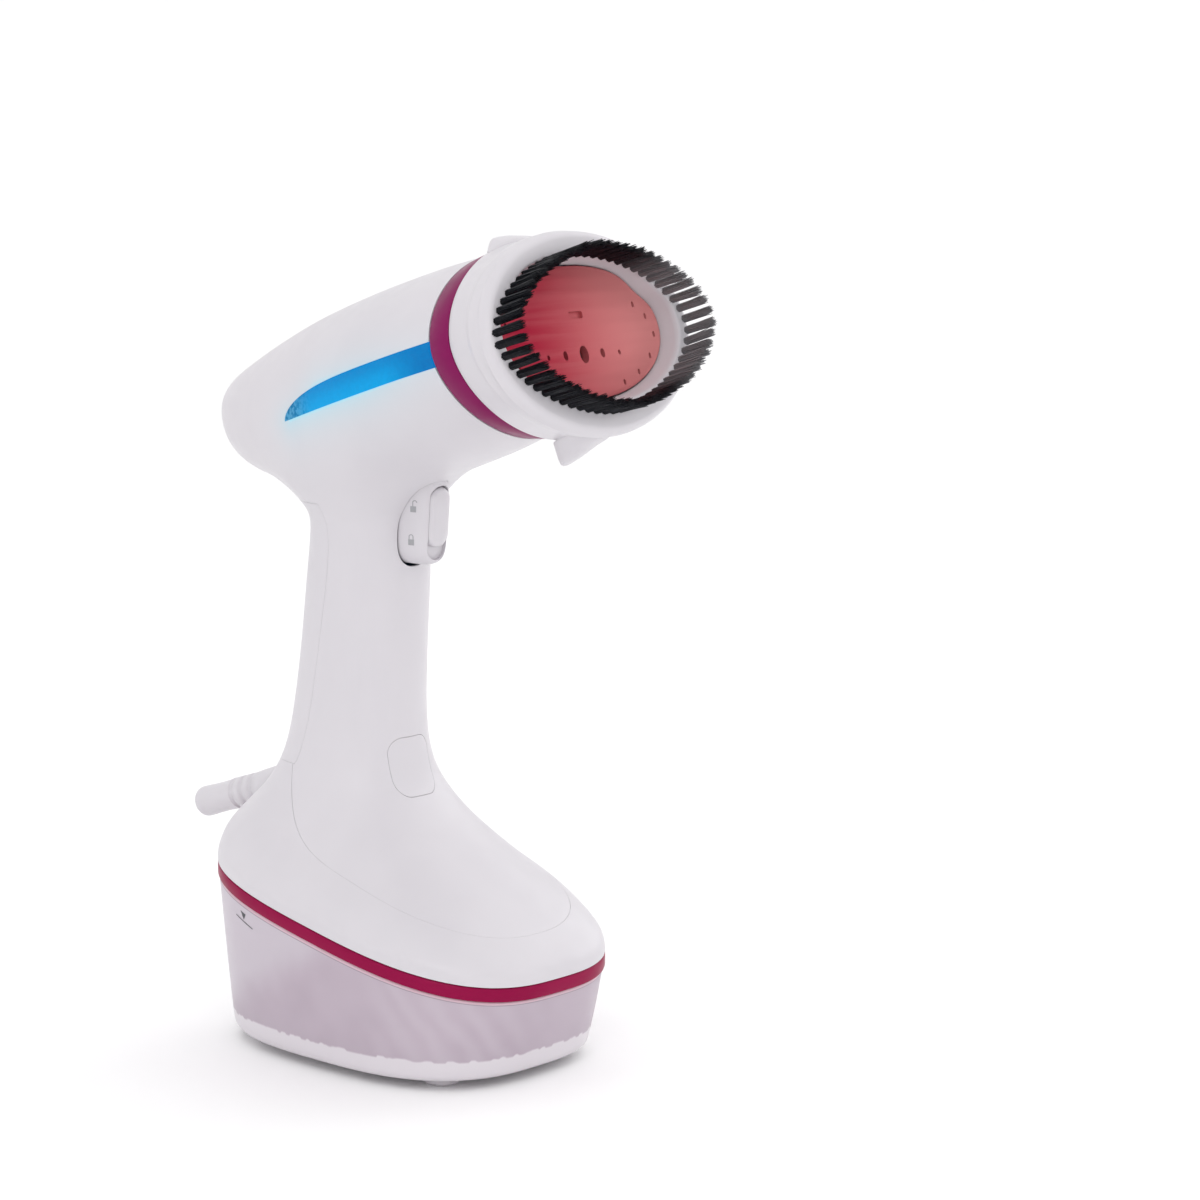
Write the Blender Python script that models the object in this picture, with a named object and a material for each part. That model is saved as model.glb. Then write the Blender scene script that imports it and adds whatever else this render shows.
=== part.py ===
"""Handheld garment steamer with a lift-off water tank, built as separate named parts.

All sizes are in millimetres and the meshes are made in metres (see MM).  The steamer stands
on its tank: Z is up, the steam head faces -Y and X is its width.
"""
import math

import bpy
import bmesh
from mathutils import Matrix, Vector

MM = 0.001
GAP = 0.35                       # clearance between neighbouring parts

# Steam head: a barrel on an axis that tips up towards the front.
HEAD_TILT = math.radians(16.6)
HEAD_FRONT = Vector((0.0, -81.7, 249.7))     # centre of the plane that the bristles grow from
FRAME_REAR = 23.2                # depths behind the bristle plane, along the head's axis
RING_DEPTHS = (23.6, 33.4)
HOUSING_FRONT = 33.8
PLATE_DEPTH = 5.8
WALL = 2.0

# Head sections: depth, half width, top, bottom (both across the axis) and exponent.
HEAD_SECTIONS = (
    (33.8, 41.1, 33.9, -28.0, 1.79),
    (51.0, 41.4, 34.4, -29.8, 1.95),
    (77.0, 39.3, 34.0, -31.2, 2.10),
    (103.0, 35.3, 32.6, -33.2, 2.15),
    (123.0, 31.0, 30.0, -27.8, 2.15),
    (140.0, 26.0, 26.8, -18.6, 2.15),
    (152.5, 20.0, 24.0, -11.5, 2.15),
    (160.5, 13.0, 20.4, -4.6, 2.15),
    (164.5, 5.5, 14.5, 3.0, 2.15),
)
RING_FRONT = (42.8, 34.8, -30.3, 1.79)       # the head ring flares to this section
RING_WALL = 1.9
TAIL_START = 100.0               # depth where the head begins to round off

# Handle and base sections: height, slope towards the rear, front, rear, half width, exponent.
BODY_SECTIONS = (
    (51.1, 0.24, -67.2, 67.2, 50.4, 2.84),
    (56.0, 0.235, -65.2, 66.6, 50.2, 2.80),
    (63.0, 0.22, -54.4, 65.2, 45.9, 2.70),
    (71.0, 0.20, -36.2, 61.4, 37.4, 2.60),
    (80.0, 0.17, -17.6, 55.6, 31.0, 2.50),
    (90.0, 0.13, -5.4, 50.5, 26.6, 2.40),
    (101.0, 0.08, -1.2, 47.9, 22.9, 2.30),
    (115.0, 0.03, -0.8, 46.2, 20.6, 2.20),
    (135.0, 0.0, -1.4, 43.0, 19.8, 2.20),
    (160.0, 0.0, -3.0, 39.8, 19.3, 2.20),
    (180.0, 0.0, -4.0, 37.4, 19.4, 2.20),
    (189.0, 0.0, -8.0, 42.0, 21.6, 2.20),
    (200.0, 0.0, -16.0, 53.0, 25.5, 2.20),
)
RING_POINTS = 28
REACH = 120.0                    # half size of a cutting block that clears the whole object

# Seams between the three housing shells.
COVER_SEAM = ((31.0, 98.6), (29.0, 106.0), (21.5, 150.0), (18.6, 172.0), (20.0, 184.0), (27.0, 200.0))
COVER_TOP = 188.0
SKIRT_TOP = 98.6
TONGUE_CENTRE_Y = -12.0
TONGUE_FRONT = 45.4
TONGUE_REAR = 50.0
TONGUE_HALF_WIDTH = 39.4
TONGUE_EXPONENT = 2.5

# Tank.
BAND_SLOPE = 0.24
BAND_PLANE = 51.1                # height of the tank's parting plane at the base centre
BAND_HEIGHT = 4.6
TANK_FLOOR = 3.4
TANK_WALL = 2.2
TANK_FRONT = (-59.2, -66.6)      # at the floor and at the rim
TANK_REAR = 67.0
TANK_HALF_WIDTH = (43.8, 50.0)
TANK_TAPER = 0.12                # how much narrower the floor is at the rear
FOOT_HEIGHT = 3.1
FOOT_RADIUS = 6.3
FOOT_PLACES = {"front_left": (-26.0, -38.0), "front_right": (26.0, -38.0),
               "rear_left": (-24.0, 42.0), "rear_right": (24.0, 42.0)}

BASE_PLATE_RISE = 7.0            # above the parting plane
BASE_PLATE_INSET = 4.6
COUPLING = (-18.0, 12.0)         # where water passes from the tank to the base
FILLER = (14.0, 32.0)            # filling hole in the tank's lid
FILLER_RADIUS = 8.2
FILLER_HINGE = 10.0              # its hinge behind the hole's centre
PUMP = (-7.0, 28.0)

# Brush attachment and steam plate.
ROOTS = (47.2, -26.5, 25.3, 1.76)            # oval that the tufts stand on
TUFT_THICKNESS = 2.6
BRISTLE_LENGTH = 12.5
PLATE_HALF_WIDTH = 41.0
PLATE_TOP = 22.8
PLATE_BOTTOM = 21.5
PLATE_EXPONENTS = (2.25, 2.0)    # of its upper and lower half
PLATE_CLEARANCE = 0.4
FRAME_REAR_OVAL = (43.0, -30.8, 35.2, 1.8)
FRAME_FRONT_OVAL = (50.2, -34.4, 33.6, 2.0)
FRAME_WALL = 0.9
TAB_ROOT = (22.0, 35.3)          # depth and height that the tab shrinks towards
TAB_OUTLINE = ((19.0, 32.0), (FRAME_REAR, 32.4), (FRAME_REAR, 35.4), (30.6, 35.4), (31.0, 36.6),
               (29.6, 38.1), (26.6, 38.3), (23.0, 37.2), (19.0, 35.2))
TAB_SECTIONS = (                 # place across the head, share of its reach, share of its height
    (-16.0, 0.10, 0.1),
    (-11.0, 0.40, 1.0),
    (-7.0, 0.66, 1.0),
    (-3.0, 1.0, 1.0),
    (3.0, 1.0, 1.0),
    (7.0, 0.66, 1.0),
    (11.0, 0.40, 1.0),
    (16.0, 0.10, 0.1),
)
LUG_SECTIONS = (                 # height, front depth, rear depth, half width
    (-29.4, 3.0, 23.2, 8.0),
    (-31.2, 3.0, 23.2, 7.6),
    (-31.5, 3.0, 25.2, 7.3),
    (-34.0, 4.5, 25.4, 5.6),
    (-35.6, 10.0, 25.6, 4.0),
    (-37.4, 16.0, 25.4, 3.0),
    (-39.2, 23.0, 24.8, 1.2),
)
STEAM_HOLES = (                  # across the axis: x, height, half width, half height
    (0.0, 6.4, 2.6, 1.4),
    (0.0, -6.6, 1.9, 2.9),
)
PAIRED_HOLES = (                 # the same on both sides of the middle
    (9.2, -6.6, 1.1, 1.6),
    (17.6, -6.8, 0.8, 1.1),
    (29.5, 8.6, 0.8, 1.0),
    (34.6, 4.4, 0.8, 1.0),
    (37.0, -1.8, 0.8, 1.0),
    (32.6, -8.8, 0.8, 1.0),
    (25.2, -13.8, 0.8, 1.0),
    (17.0, -16.8, 0.8, 1.0),
)

# Steam generator: half width, low, high and exponent of its ovals.
CHAMBER = (34.6, -18.4, 18.8, 2.1)
CHAMBER_DEPTHS = (10.5, 25.0)
CHAMBER_WALL = 4.0
SHROUD = (40.4, -26.5, 29.0, 1.85)
SHIELD = (34.0, -22.0, 23.5, 1.9)
ELEMENT_DEPTH = 28.6
ELEMENT_PATH = ((-24.0, 12.0), (-8.0, 12.0), (14.0, 12.0), (23.0, 8.5), (26.5, 0.0),
                (23.0, -8.5), (14.0, -12.0), (-8.0, -12.0), (-24.0, -12.0))
CHAMBER_INLET_X = 18.0

# Trigger and its lock.
TRIGGER_Z = (168.0, 199.6)
TRIGGER_HALF_WIDTH = 7.6
TRIGGER_FRONT = (-13.8, -16.4)    # at its lower and upper end
TRIGGER_BACK = 3.0
TRIGGER_PIVOT = (0.0, 1.0, 193.0)
TRIGGER_CLEARANCE = 0.9
LOCK_SLOT_Z = (169.8, 195.0)
LOCK_SLOT_HALF_WIDTH = 4.6
LOCK_SLOT_DEPTH = 5.4
LOCK_SLIDER_Z = (174.2, 194.4)

# Release button.
BUTTON_Z = (88.7, 108.3)
BUTTON_HALF_WIDTH = 9.8
BUTTON_BACK = 4.6

# Cord guard: it starts inside the base skirt and hangs down behind.
GUARD_START = Vector((0.0, 46.0, 89.6))
GUARD_AXIS = Vector((0.0, 0.956, -0.293)).normalized()
GUARD_LENGTH = 57.27
GUARD_BORE = 3.3
GUARD_GROOVES = (26.0, 31.0, 36.0)

# Handle screws: height and the place of the head's rear face.
SCREWS = {"lower": (118.0, 41.2), "upper": (164.0, 38.6)}

WHITE = (0.83, 0.82, 0.83)
MAGENTA = (0.27, 0.015, 0.07)


# ---------------------------------------------------------------- geometry helpers

def clear_scene():
    for obj in list(bpy.data.objects):
        bpy.data.objects.remove(obj, do_unlink=True)


def signed_power(value, power):
    return math.copysign(abs(value) ** power, value)


def superellipse(half_width, low, high, exponent, count=RING_POINTS):
    """Closed outline: x is the half width, the other coordinate runs from low to high."""
    middle = (low + high) / 2
    half = (high - low) / 2
    points = []
    for index in range(count):
        angle = 2 * math.pi * index / count
        across = half_width * signed_power(math.cos(angle), 2 / exponent)
        along = middle + half * signed_power(math.sin(angle), 2 / exponent)
        points.append((across, along))
    return points


def catmull_rom(rows, steps):
    """Rows of numbers joined by a smooth curve, with `steps` spans between two rows."""
    smooth = []
    for index in range(len(rows) - 1):
        before = rows[max(index - 1, 0)]
        start, end = rows[index], rows[index + 1]
        after = rows[min(index + 2, len(rows) - 1)]
        for step in range(steps):
            t = step / steps
            smooth.append(tuple(
                0.5 * ((2 * b) + (c - a) * t + (2 * a - 5 * b + 4 * c - d) * t * t
                       + (3 * b - a - 3 * c + d) * t ** 3)
                for a, b, c, d in zip(before, start, end, after)))
    smooth.append(rows[-1])
    return smooth


def head_point(x, depth, across):
    """A point of the head from its width, depth behind the bristle plane and height over the axis."""
    back = Vector((0.0, math.cos(HEAD_TILT), -math.sin(HEAD_TILT)))
    up = Vector((0.0, math.sin(HEAD_TILT), math.cos(HEAD_TILT)))
    return HEAD_FRONT + Vector((x, 0, 0)) + back * depth + up * across


def band_point(x, y, offset):
    """A point over the tank's sloping parting plane."""
    return Vector((x, y, BAND_PLANE + BAND_SLOPE * y + offset))


def to_metres(point):
    return Vector(point) * MM


def make_object(name, mesh, material_name, pivot=None):
    obj = bpy.data.objects.new(name, mesh)
    bpy.context.scene.collection.objects.link(obj)
    if pivot is not None:
        place = to_metres(pivot)
        mesh.transform(Matrix.Translation(-place))
        obj.location = place
    if material_name:
        mesh.materials.clear()
        mesh.materials.append(MATERIALS[material_name])
    mesh.shade_smooth()
    mesh.set_sharp_from_angle(angle=math.radians(35))
    return obj


def mesh_from_rings(name, rings, closed=False):
    """Skin a list of equal rings; the ends are capped, or joined to each other when closed."""
    bm = bmesh.new()
    loops = [[bm.verts.new(to_metres(point)) for point in ring] for ring in rings]
    count = len(loops[0])
    pairs = list(zip(loops, loops[1:]))
    if closed:
        pairs.append((loops[-1], loops[0]))
    for lower, upper in pairs:
        for index in range(count):
            following = (index + 1) % count
            bm.faces.new((lower[index], lower[following], upper[following], upper[index]))
    if not closed:
        bm.faces.new(list(reversed(loops[0])))
        bm.faces.new(loops[-1])
    bmesh.ops.recalc_face_normals(bm, faces=bm.faces)
    mesh = bpy.data.meshes.new(name)
    bm.to_mesh(mesh)
    bm.free()
    return mesh


def ring_about(centre, axis, radius, count, twist=0.0):
    """Circle of points around an axis."""
    axis = Vector(axis).normalized()
    side = axis.orthogonal().normalized()
    other = axis.cross(side)
    return [Vector(centre) + side * radius * math.cos(2 * math.pi * (i + twist) / count)
            + other * radius * math.sin(2 * math.pi * (i + twist) / count) for i in range(count)]


def turned(name, material_name, start, axis, profile, count=16, closed=False, pivot=None):
    """Body of revolution: profile is a list of (distance along the axis, radius)."""
    axis = Vector(axis).normalized()
    rings = [ring_about(Vector(start) + axis * along, axis, radius, count)
             for along, radius in profile]
    return make_object(name, mesh_from_rings(name, rings, closed), material_name, pivot)


def sleeve(name, material_name, start, axis, length, outer, inner, count=16, pivot=None):
    """Plain tube, open at both ends."""
    profile = ((0, inner), (0, outer), (length, outer), (length, inner))
    return turned(name, material_name, start, axis, profile, count, closed=True, pivot=pivot)


def prism(name, material_name, outline, place, low, high, pivot=None):
    """Extruded outline: place(a, b, height) puts a point of it in space."""
    rings = [[place(a, b, height) for a, b in outline] for height in (low, high)]
    return make_object(name, mesh_from_rings(name, rings), material_name, pivot)


def upright(x, y, z):
    return Vector((x, y, z))


def facing_front(x, z, y):
    """For outlines drawn as seen from the front, extruded along Y."""
    return Vector((x, y, z))


def block(name, material_name, low, high, place=upright, pivot=None):
    """Box between two corners, in a frame given by place(x, y, z)."""
    outline = ((low[0], low[1]), (high[0], low[1]), (high[0], high[1]), (low[0], high[1]))
    return prism(name, material_name, outline, place, low[2], high[2], pivot)


def tube_along(name, material_name, points, radius, count=8, steps=3):
    """Round hose along a smooth curve through the points."""
    centres = [Vector(row) for row in catmull_rom([tuple(point) for point in points], steps)]
    side = None
    rings = []
    for index, centre in enumerate(centres):
        before = centres[max(index - 1, 0)]
        after = centres[min(index + 1, len(centres) - 1)]
        axis = (after - before).normalized()
        side = (side - axis * side.dot(axis)).normalized() if side else axis.orthogonal().normalized()
        other = axis.cross(side)
        rings.append([centre + side * radius * math.cos(2 * math.pi * i / count)
                      + other * radius * math.sin(2 * math.pi * i / count) for i in range(count)])
    return make_object(name, mesh_from_rings(name, rings), material_name)


def coil_spring(name, start, axis, length, radius, wire, turns=4, per_turn=9):
    """Compression spring as one round wire on a helix."""
    axis = Vector(axis).normalized()
    side = axis.orthogonal().normalized()
    other = axis.cross(side)
    points = []
    for index in range(turns * per_turn + 1):
        angle = 2 * math.pi * index / per_turn
        along = wire + (length - 2 * wire) * index / (turns * per_turn)
        points.append(Vector(start) + axis * along + (side * math.cos(angle)
                                                      + other * math.sin(angle)) * radius)
    return tube_along(name, "spring_steel", points, wire, count=4, steps=1)


def leave_out(obj):
    """Mark an object as a cutter or guide, which isn't part of the steamer."""
    obj.hide_render = True
    obj.display_type = "WIRE"


def boolean(target, cutter, operation):
    """Add a Boolean modifier; the cutter is left out of the build."""
    modifier = target.modifiers.new(operation.lower(), "BOOLEAN")
    modifier.operation = operation
    modifier.object = cutter
    modifier.solver = "EXACT"
    leave_out(cutter)


def cut(target, *cutters):
    for cutter in cutters:
        boolean(target, cutter, "DIFFERENCE")


def evaluated_copy(obj, name, material_name=None):
    """A new object with the mesh that the modifiers of `obj` give."""
    depsgraph = bpy.context.evaluated_depsgraph_get()
    depsgraph.update()
    mesh = bpy.data.meshes.new_from_object(obj.evaluated_get(depsgraph))
    mesh.name = name
    copy = bpy.data.objects.new(name, mesh)
    bpy.context.scene.collection.objects.link(copy)
    if material_name:
        mesh.materials.clear()
        mesh.materials.append(MATERIALS[material_name])
    mesh.shade_smooth()
    mesh.set_sharp_from_angle(angle=math.radians(35))
    return copy


def make_material(name, colour, roughness, metallic=0.0, alpha=1.0):
    material = bpy.data.materials.new(name)
    material.use_nodes = True
    shader = material.node_tree.nodes["Principled BSDF"]
    shader.inputs["Base Color"].default_value = (*colour, 1.0)
    shader.inputs["Roughness"].default_value = roughness
    shader.inputs["Metallic"].default_value = metallic
    shader.inputs["Alpha"].default_value = alpha
    return material


def make_materials():
    return {
        "white_plastic": make_material("white_plastic", WHITE, 0.35),
        "magenta_plastic": make_material("magenta_plastic", MAGENTA, 0.25),
        "magenta_metal": make_material("magenta_metal", (0.45, 0.06, 0.12), 0.3, 0.6),
        "blue_lens": make_material("blue_lens", (0.02, 0.35, 0.8), 0.1),
        "tank_plastic": make_material("tank_plastic", (0.62, 0.55, 0.62), 0.25, alpha=0.6),
        "bristle_nylon": make_material("bristle_nylon", (0.01, 0.012, 0.015), 0.6),
        "cast_aluminium": make_material("cast_aluminium", (0.55, 0.56, 0.58), 0.45, 0.9),
        "steel": make_material("steel", (0.6, 0.6, 0.6), 0.3, 1.0),
        "spring_steel": make_material("spring_steel", (0.5, 0.5, 0.52), 0.3, 1.0),
        "brass": make_material("brass", (0.7, 0.5, 0.2), 0.3, 1.0),
        "silicone": make_material("silicone", (0.7, 0.7, 0.68), 0.6),
        "black_plastic": make_material("black_plastic", (0.02, 0.02, 0.02), 0.5),
        "grey_plastic": make_material("grey_plastic", (0.35, 0.35, 0.36), 0.5),
        "circuit_board": make_material("circuit_board", (0.02, 0.2, 0.08), 0.5),
    }


# ---------------------------------------------------------------- housing shells

def body_loft(name, inset, drop, steps, low_extra=0.0):
    """Handle and base as one closed loft; a positive inset gives the inside of the shell."""
    rings = []
    for height, slope, front, rear, half_width, exponent in catmull_rom(BODY_SECTIONS, steps):
        outline = superellipse(half_width - inset, front + inset, rear - inset, exponent)
        rings.append([Vector((x, y, height - drop + slope * y)) for x, y in outline])
    if low_extra:
        rings.insert(0, [point - Vector((0, 0, low_extra)) for point in rings[0]])
    return make_object(name, mesh_from_rings(name, rings), None)


def head_section(section, depth, inset):
    """One ring of the head: section is (half width, top, bottom, exponent)."""
    half_width, top, bottom, exponent = section
    outline = superellipse(half_width - inset, bottom + inset, top - inset, exponent)
    return [head_point(x, depth, v) for x, v in outline]


def head_loft(name, inset, steps, front_depth, tail_inset=0.0):
    """Head barrel as one closed loft from front_depth back to its rounded tail."""
    rings = [head_section(HEAD_SECTIONS[0][1:], front_depth, inset)]
    tail_length = HEAD_SECTIONS[-1][0] - TAIL_START
    for depth, *section in catmull_rom(HEAD_SECTIONS, steps):
        if depth < front_depth + 2 or section[0] < inset + 3:
            continue
        pulled_in = tail_inset * max(0.0, (depth - TAIL_START) / tail_length)
        rings.append(head_section(section, depth - pulled_in, inset))
    return make_object(name, mesh_from_rings(name, rings), None)


def shell_solid():
    """The whole white shell, before the seams split it into three parts."""
    head = head_loft("head_outside", 0.0, 1, HOUSING_FRONT)
    body = body_loft("body_outside", 0.0, 0.0, 2)
    boolean(body, head, "UNION")
    outside = evaluated_copy(body, "shell_outside")
    head_inside = head_loft("head_inside", WALL, 1, HOUSING_FRONT - 6, tail_inset=WALL)
    body_inside = body_loft("body_inside", 1.8, 1.8, 1, low_extra=10.0)
    boolean(body_inside, head_inside, "UNION")
    inside = evaluated_copy(body_inside, "shell_inside")
    shell = evaluated_copy(outside, "shell_whole")
    cut(shell, inside)
    whole = evaluated_copy(shell, "shell")
    for guide in (body, body_inside, shell):
        leave_out(guide)
    return whole, outside


def seam_block(name, shift, low, high):
    """Everything behind the handle seam; shift moves the seam towards the rear."""
    outline = [(y + shift, z) for y, z in COVER_SEAM]
    outline[0] = (outline[0][0], low)
    outline[-1] = (outline[-1][0], high)
    outline += [(REACH, high), (REACH, low)]
    return prism(name, None, outline, lambda y, z, x: Vector((x, y, z)), -REACH, REACH)


def tongue_block(name, grow):
    """The upright column whose edge is the front shell's tongue on the base."""
    outline = superellipse(TONGUE_HALF_WIDTH + grow, TONGUE_CENTRE_Y - TONGUE_FRONT - grow,
                           TONGUE_CENTRE_Y + TONGUE_REAR + grow, TONGUE_EXPONENT)
    return prism(name, None, outline, upright, -5.0, SKIRT_TOP + 40.0)


def rounded_outline(half_width, low, high, radius, corner_steps=3):
    """Rectangle with rounded corners."""
    corners = ((half_width - radius, high - radius, 0), (-half_width + radius, high - radius, 1),
               (-half_width + radius, low + radius, 2), (half_width - radius, low + radius, 3))
    points = []
    for x, z, quarter in corners:
        for step in range(corner_steps + 1):
            angle = math.pi / 2 * (quarter + step / corner_steps)
            points.append((x + radius * math.cos(angle), z + radius * math.sin(angle)))
    return points


def button_block(name, grow, back):
    outline = rounded_outline(BUTTON_HALF_WIDTH + grow, BUTTON_Z[0] - grow, BUTTON_Z[1] + grow, 5.5)
    return prism(name, None, outline, facing_front, -30.0, back)


def trigger_rings(grow):
    """Trigger pad: rounded sections that shrink towards its two ends."""
    low, high = TRIGGER_Z[0] - grow, TRIGGER_Z[1] + grow
    middle = (low + high) / 2
    half = (high - low) / 2
    rings = []
    for share in (-1.0, -0.93, -0.78, -0.5, 0.0, 0.5, 0.78, 0.93, 1.0):
        scale = (1 - abs(share) ** 4 * 0.55)
        front = trigger_face(middle + half * share) - grow
        front = TRIGGER_BACK + (front - TRIGGER_BACK) * (1 - abs(share) ** 5 * 0.4)
        outline = superellipse((TRIGGER_HALF_WIDTH + grow) * scale, front, TRIGGER_BACK + grow, 2.5, 20)
        rings.append([Vector((x, y, middle + half * share)) for x, y in outline])
    return rings


def window_block(name, side, grow, inner, outer):
    """Blade-shaped light window in the side of the head."""
    low, high = -1.7 - grow, 6.2 + grow
    outline = [(HOUSING_FRONT - 1.0, low), (110.0 + grow, low), (109.0 + grow, 1.0), (105.0 + grow, 3.8),
               (98.0, high - 0.9), (86.0, high), (HOUSING_FRONT - 1.0, high)]
    return prism(name, None, outline, lambda depth, v, x: head_point(x * side, depth, v), inner, outer)


def skirt_zone(name, top):
    """Everything under the seam between the base skirt and the handle."""
    return block(name, None, (-REACH, -REACH, 0), (REACH, REACH, top))


def make_housings():
    whole, outside = shell_solid()

    # Base skirt: what lies under the handle cover and around the tongue.
    skirt = evaluated_copy(whole, "base_skirt", "white_plastic")
    boolean(skirt, skirt_zone("skirt_keep", SKIRT_TOP), "INTERSECT")
    cut(skirt, tongue_block("tongue_clearance", 0.0))

    # Handle cover: the rear half of the handle, up to the head.
    cover = evaluated_copy(whole, "rear_handle_cover", "white_plastic")
    boolean(cover, seam_block("cover_keep", 0.0, SKIRT_TOP + GAP, COVER_TOP), "INTERSECT")

    # Front housing: the head, the front of the handle and the tongue.
    front = evaluated_copy(whole, "front_housing", "white_plastic")
    cut(front, seam_block("cover_pocket", -GAP, SKIRT_TOP, COVER_TOP + GAP))
    around_tongue = skirt_zone("around_tongue", SKIRT_TOP + GAP)
    cut(around_tongue, tongue_block("tongue_outline", -GAP))
    cut(front, evaluated_copy(around_tongue, "skirt_pocket"))
    for side, label in ((-1, "left"), (1, "right")):
        cut(front, window_block("window_hole_" + label, side, GAP, 28.0, 46.0))
    trigger_hole = mesh_from_rings("trigger_hole", trigger_rings(TRIGGER_CLEARANCE))
    cut(front, make_object("trigger_hole", trigger_hole, None), button_block("button_hole", GAP, 12.0))
    for guide in (whole, outside, around_tongue):
        leave_out(guide)
    return cover, skirt, outside


def make_light_windows(outside):
    for side, label in ((-1, "left"), (1, "right")):
        lens = window_block("light_window_" + label, side, 0.0, 30.0, 46.0)
        lens.data.materials.append(MATERIALS["blue_lens"])
        boolean(lens, outside, "INTERSECT")
        hollow = head_loft("window_back_" + label, WALL + 0.4, 1, HOUSING_FRONT - 6, tail_inset=WALL)
        cut(lens, hollow)
        block("led_board_" + label, "circuit_board", (31.6, 44.0, 0.0), (33.0, 84.0, 6.0),
              lambda x, depth, v, s=side: head_point(x * s, depth, v))


def make_head_ring():
    front, rear = RING_DEPTHS
    rear_section = HEAD_SECTIONS[0][1:]
    rings = [head_section(section, depth, inset)
             for section, depth, inset in ((RING_FRONT, front, 0.0), (rear_section, rear, 0.0),
                                           (rear_section, rear, RING_WALL), (RING_FRONT, front, RING_WALL))]
    make_object("head_ring", mesh_from_rings("head_ring", rings, closed=True), "magenta_plastic")


# ---------------------------------------------------------------- steam head

def plate_outline(grow, count=44):
    """Steam plate outline: a wide oval that narrows into a dome above two soft shoulders."""
    points = []
    for index in range(count):
        angle = 2 * math.pi * index / count
        upper = angle < math.pi
        half_height = PLATE_TOP if upper else PLATE_BOTTOM
        exponent = PLATE_EXPONENTS[0] if upper else PLATE_EXPONENTS[1]
        x = (PLATE_HALF_WIDTH + grow) * signed_power(math.cos(angle), 2 / exponent)
        v = (half_height + grow) * signed_power(math.sin(angle), 2 / exponent)
        lean = math.atan2(abs(v) * 1.9, abs(x))
        notch = 0.06 * math.exp(-((lean - math.radians(37)) / math.radians(14)) ** 2) if v > 0 else 0.0
        points.append((x * (1 - notch), v * (1 - notch)))
    return points


def head_prism(name, material_name, outline, front, rear):
    return prism(name, material_name, outline, lambda x, v, depth: head_point(x, depth, v), front, rear)


def steam_holes():
    mirrored = [(-x, v, half_width, half_height) for x, v, half_width, half_height in PAIRED_HOLES]
    return [*STEAM_HOLES, *PAIRED_HOLES, *mirrored]


def make_steam_plate():
    plate = head_prism("steam_plate", "magenta_metal", plate_outline(0.0), PLATE_DEPTH, PLATE_DEPTH + 3.0)
    for index, (x, v, half_width, half_height) in enumerate(steam_holes()):
        outline = [(x + px, v + pv) for px, pv in
                   superellipse(half_width, -half_height, half_height, 2.0, 6)]
        cut(plate, head_prism("steam_hole_%02d" % index, None, outline, PLATE_DEPTH - 2, PLATE_DEPTH + 5))


def oval_ring(oval, depth, inset, squeeze=1.0, count=RING_POINTS):
    """An oval (half width, low, high, exponent) of the head, made smaller by an inset."""
    half_width, low, high, exponent = oval
    outline = superellipse(half_width - inset, low + inset * squeeze, high - inset * squeeze, exponent, count)
    return [head_point(x, depth, v) for x, v in outline]


def make_steam_generator():
    front, rear = CHAMBER_DEPTHS
    gasket_profile = ((front - 1.4, 0.0), (front - 0.3, 0.0), (front - 0.3, 2.6), (front - 1.4, 2.6))
    gasket = [oval_ring(CHAMBER, depth, inset) for depth, inset in gasket_profile]
    make_object("chamber_gasket", mesh_from_rings("chamber_gasket", gasket, closed=True), "silicone")
    chamber_profile = ((rear - 5.0, CHAMBER_WALL), (front, CHAMBER_WALL), (front, 0.0), (rear, 0.0))
    chamber = [oval_ring(CHAMBER, depth, inset) for depth, inset in chamber_profile]
    make_object("steam_chamber", mesh_from_rings("steam_chamber", chamber), "cast_aluminium")
    element = [head_point(x, ELEMENT_DEPTH, v) for x, v in ELEMENT_PATH]
    tube_along("heating_element", "steel", element, 3.2, count=10, steps=2)
    back = head_point(0, 1, 0) - head_point(0, 0, 0)
    behind = rear + 0.4
    turned("thermostat", "steel", head_point(6, behind, 0), back, ((0, 7.5), (4, 7.5), (4.6, 6.0), (7.5, 6.0)))
    turned("thermal_fuse", "steel", head_point(-22, 28.2, 0), (1, 0, 0),
           ((0, 0.6), (3, 0.6), (3.3, 2.2), (13, 2.2), (13.3, 0.6), (16, 0.6)), 10)
    sleeve("chamber_inlet", "brass", head_point(CHAMBER_INLET_X, behind, 0), back, 15.0, 2.4, 1.2, 10)
    plate = head_prism("heat_shield", "grey_plastic", superellipse(*SHIELD), 36.4, 37.8)
    cut(plate, turned("shield_inlet_hole", None, head_point(CHAMBER_INLET_X, 32, 0), back,
                      ((0, 3.0), (10, 3.0)), 10))


def make_nose_shroud():
    """Fixed collar round the steam chamber, over which the brush frame slides."""
    front, rear = 9.4, 36.0
    step = RING_DEPTHS[0] - GAP
    profile = ((front, 0.0), (step - 1.5, 0.0), (step, 2.6), (rear, 3.2), (rear, 4.6), (step - 1.5, 4.2),
               (front, 1.9))
    rings = [oval_ring(SHROUD, depth, inset, 0.6) for depth, inset in profile]
    make_object("nose_shroud", mesh_from_rings("nose_shroud", rings, closed=True), "white_plastic")


def frame_outline(depth, inset):
    """Section of the brush frame, which flares from the head ring to its front rim."""
    share = min(max((FRAME_REAR - depth) / FRAME_REAR, 0.0), 1.0)
    shares = (math.sin(share * math.pi / 2), share, share, share)
    half_width, low, high, exponent = [
        rear + (front - rear) * part for rear, front, part in zip(FRAME_REAR_OVAL, FRAME_FRONT_OVAL, shares)]
    return superellipse(half_width - inset, low + inset, high - inset, exponent, 36)


def crown_drop(x):
    """How far the top of the head ring falls away at a distance from its middle."""
    half_width, top, bottom, exponent = RING_FRONT
    return (top - bottom) / 2 * (1 - (1 - (abs(x) / half_width) ** exponent) ** (1 / exponent))


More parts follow.
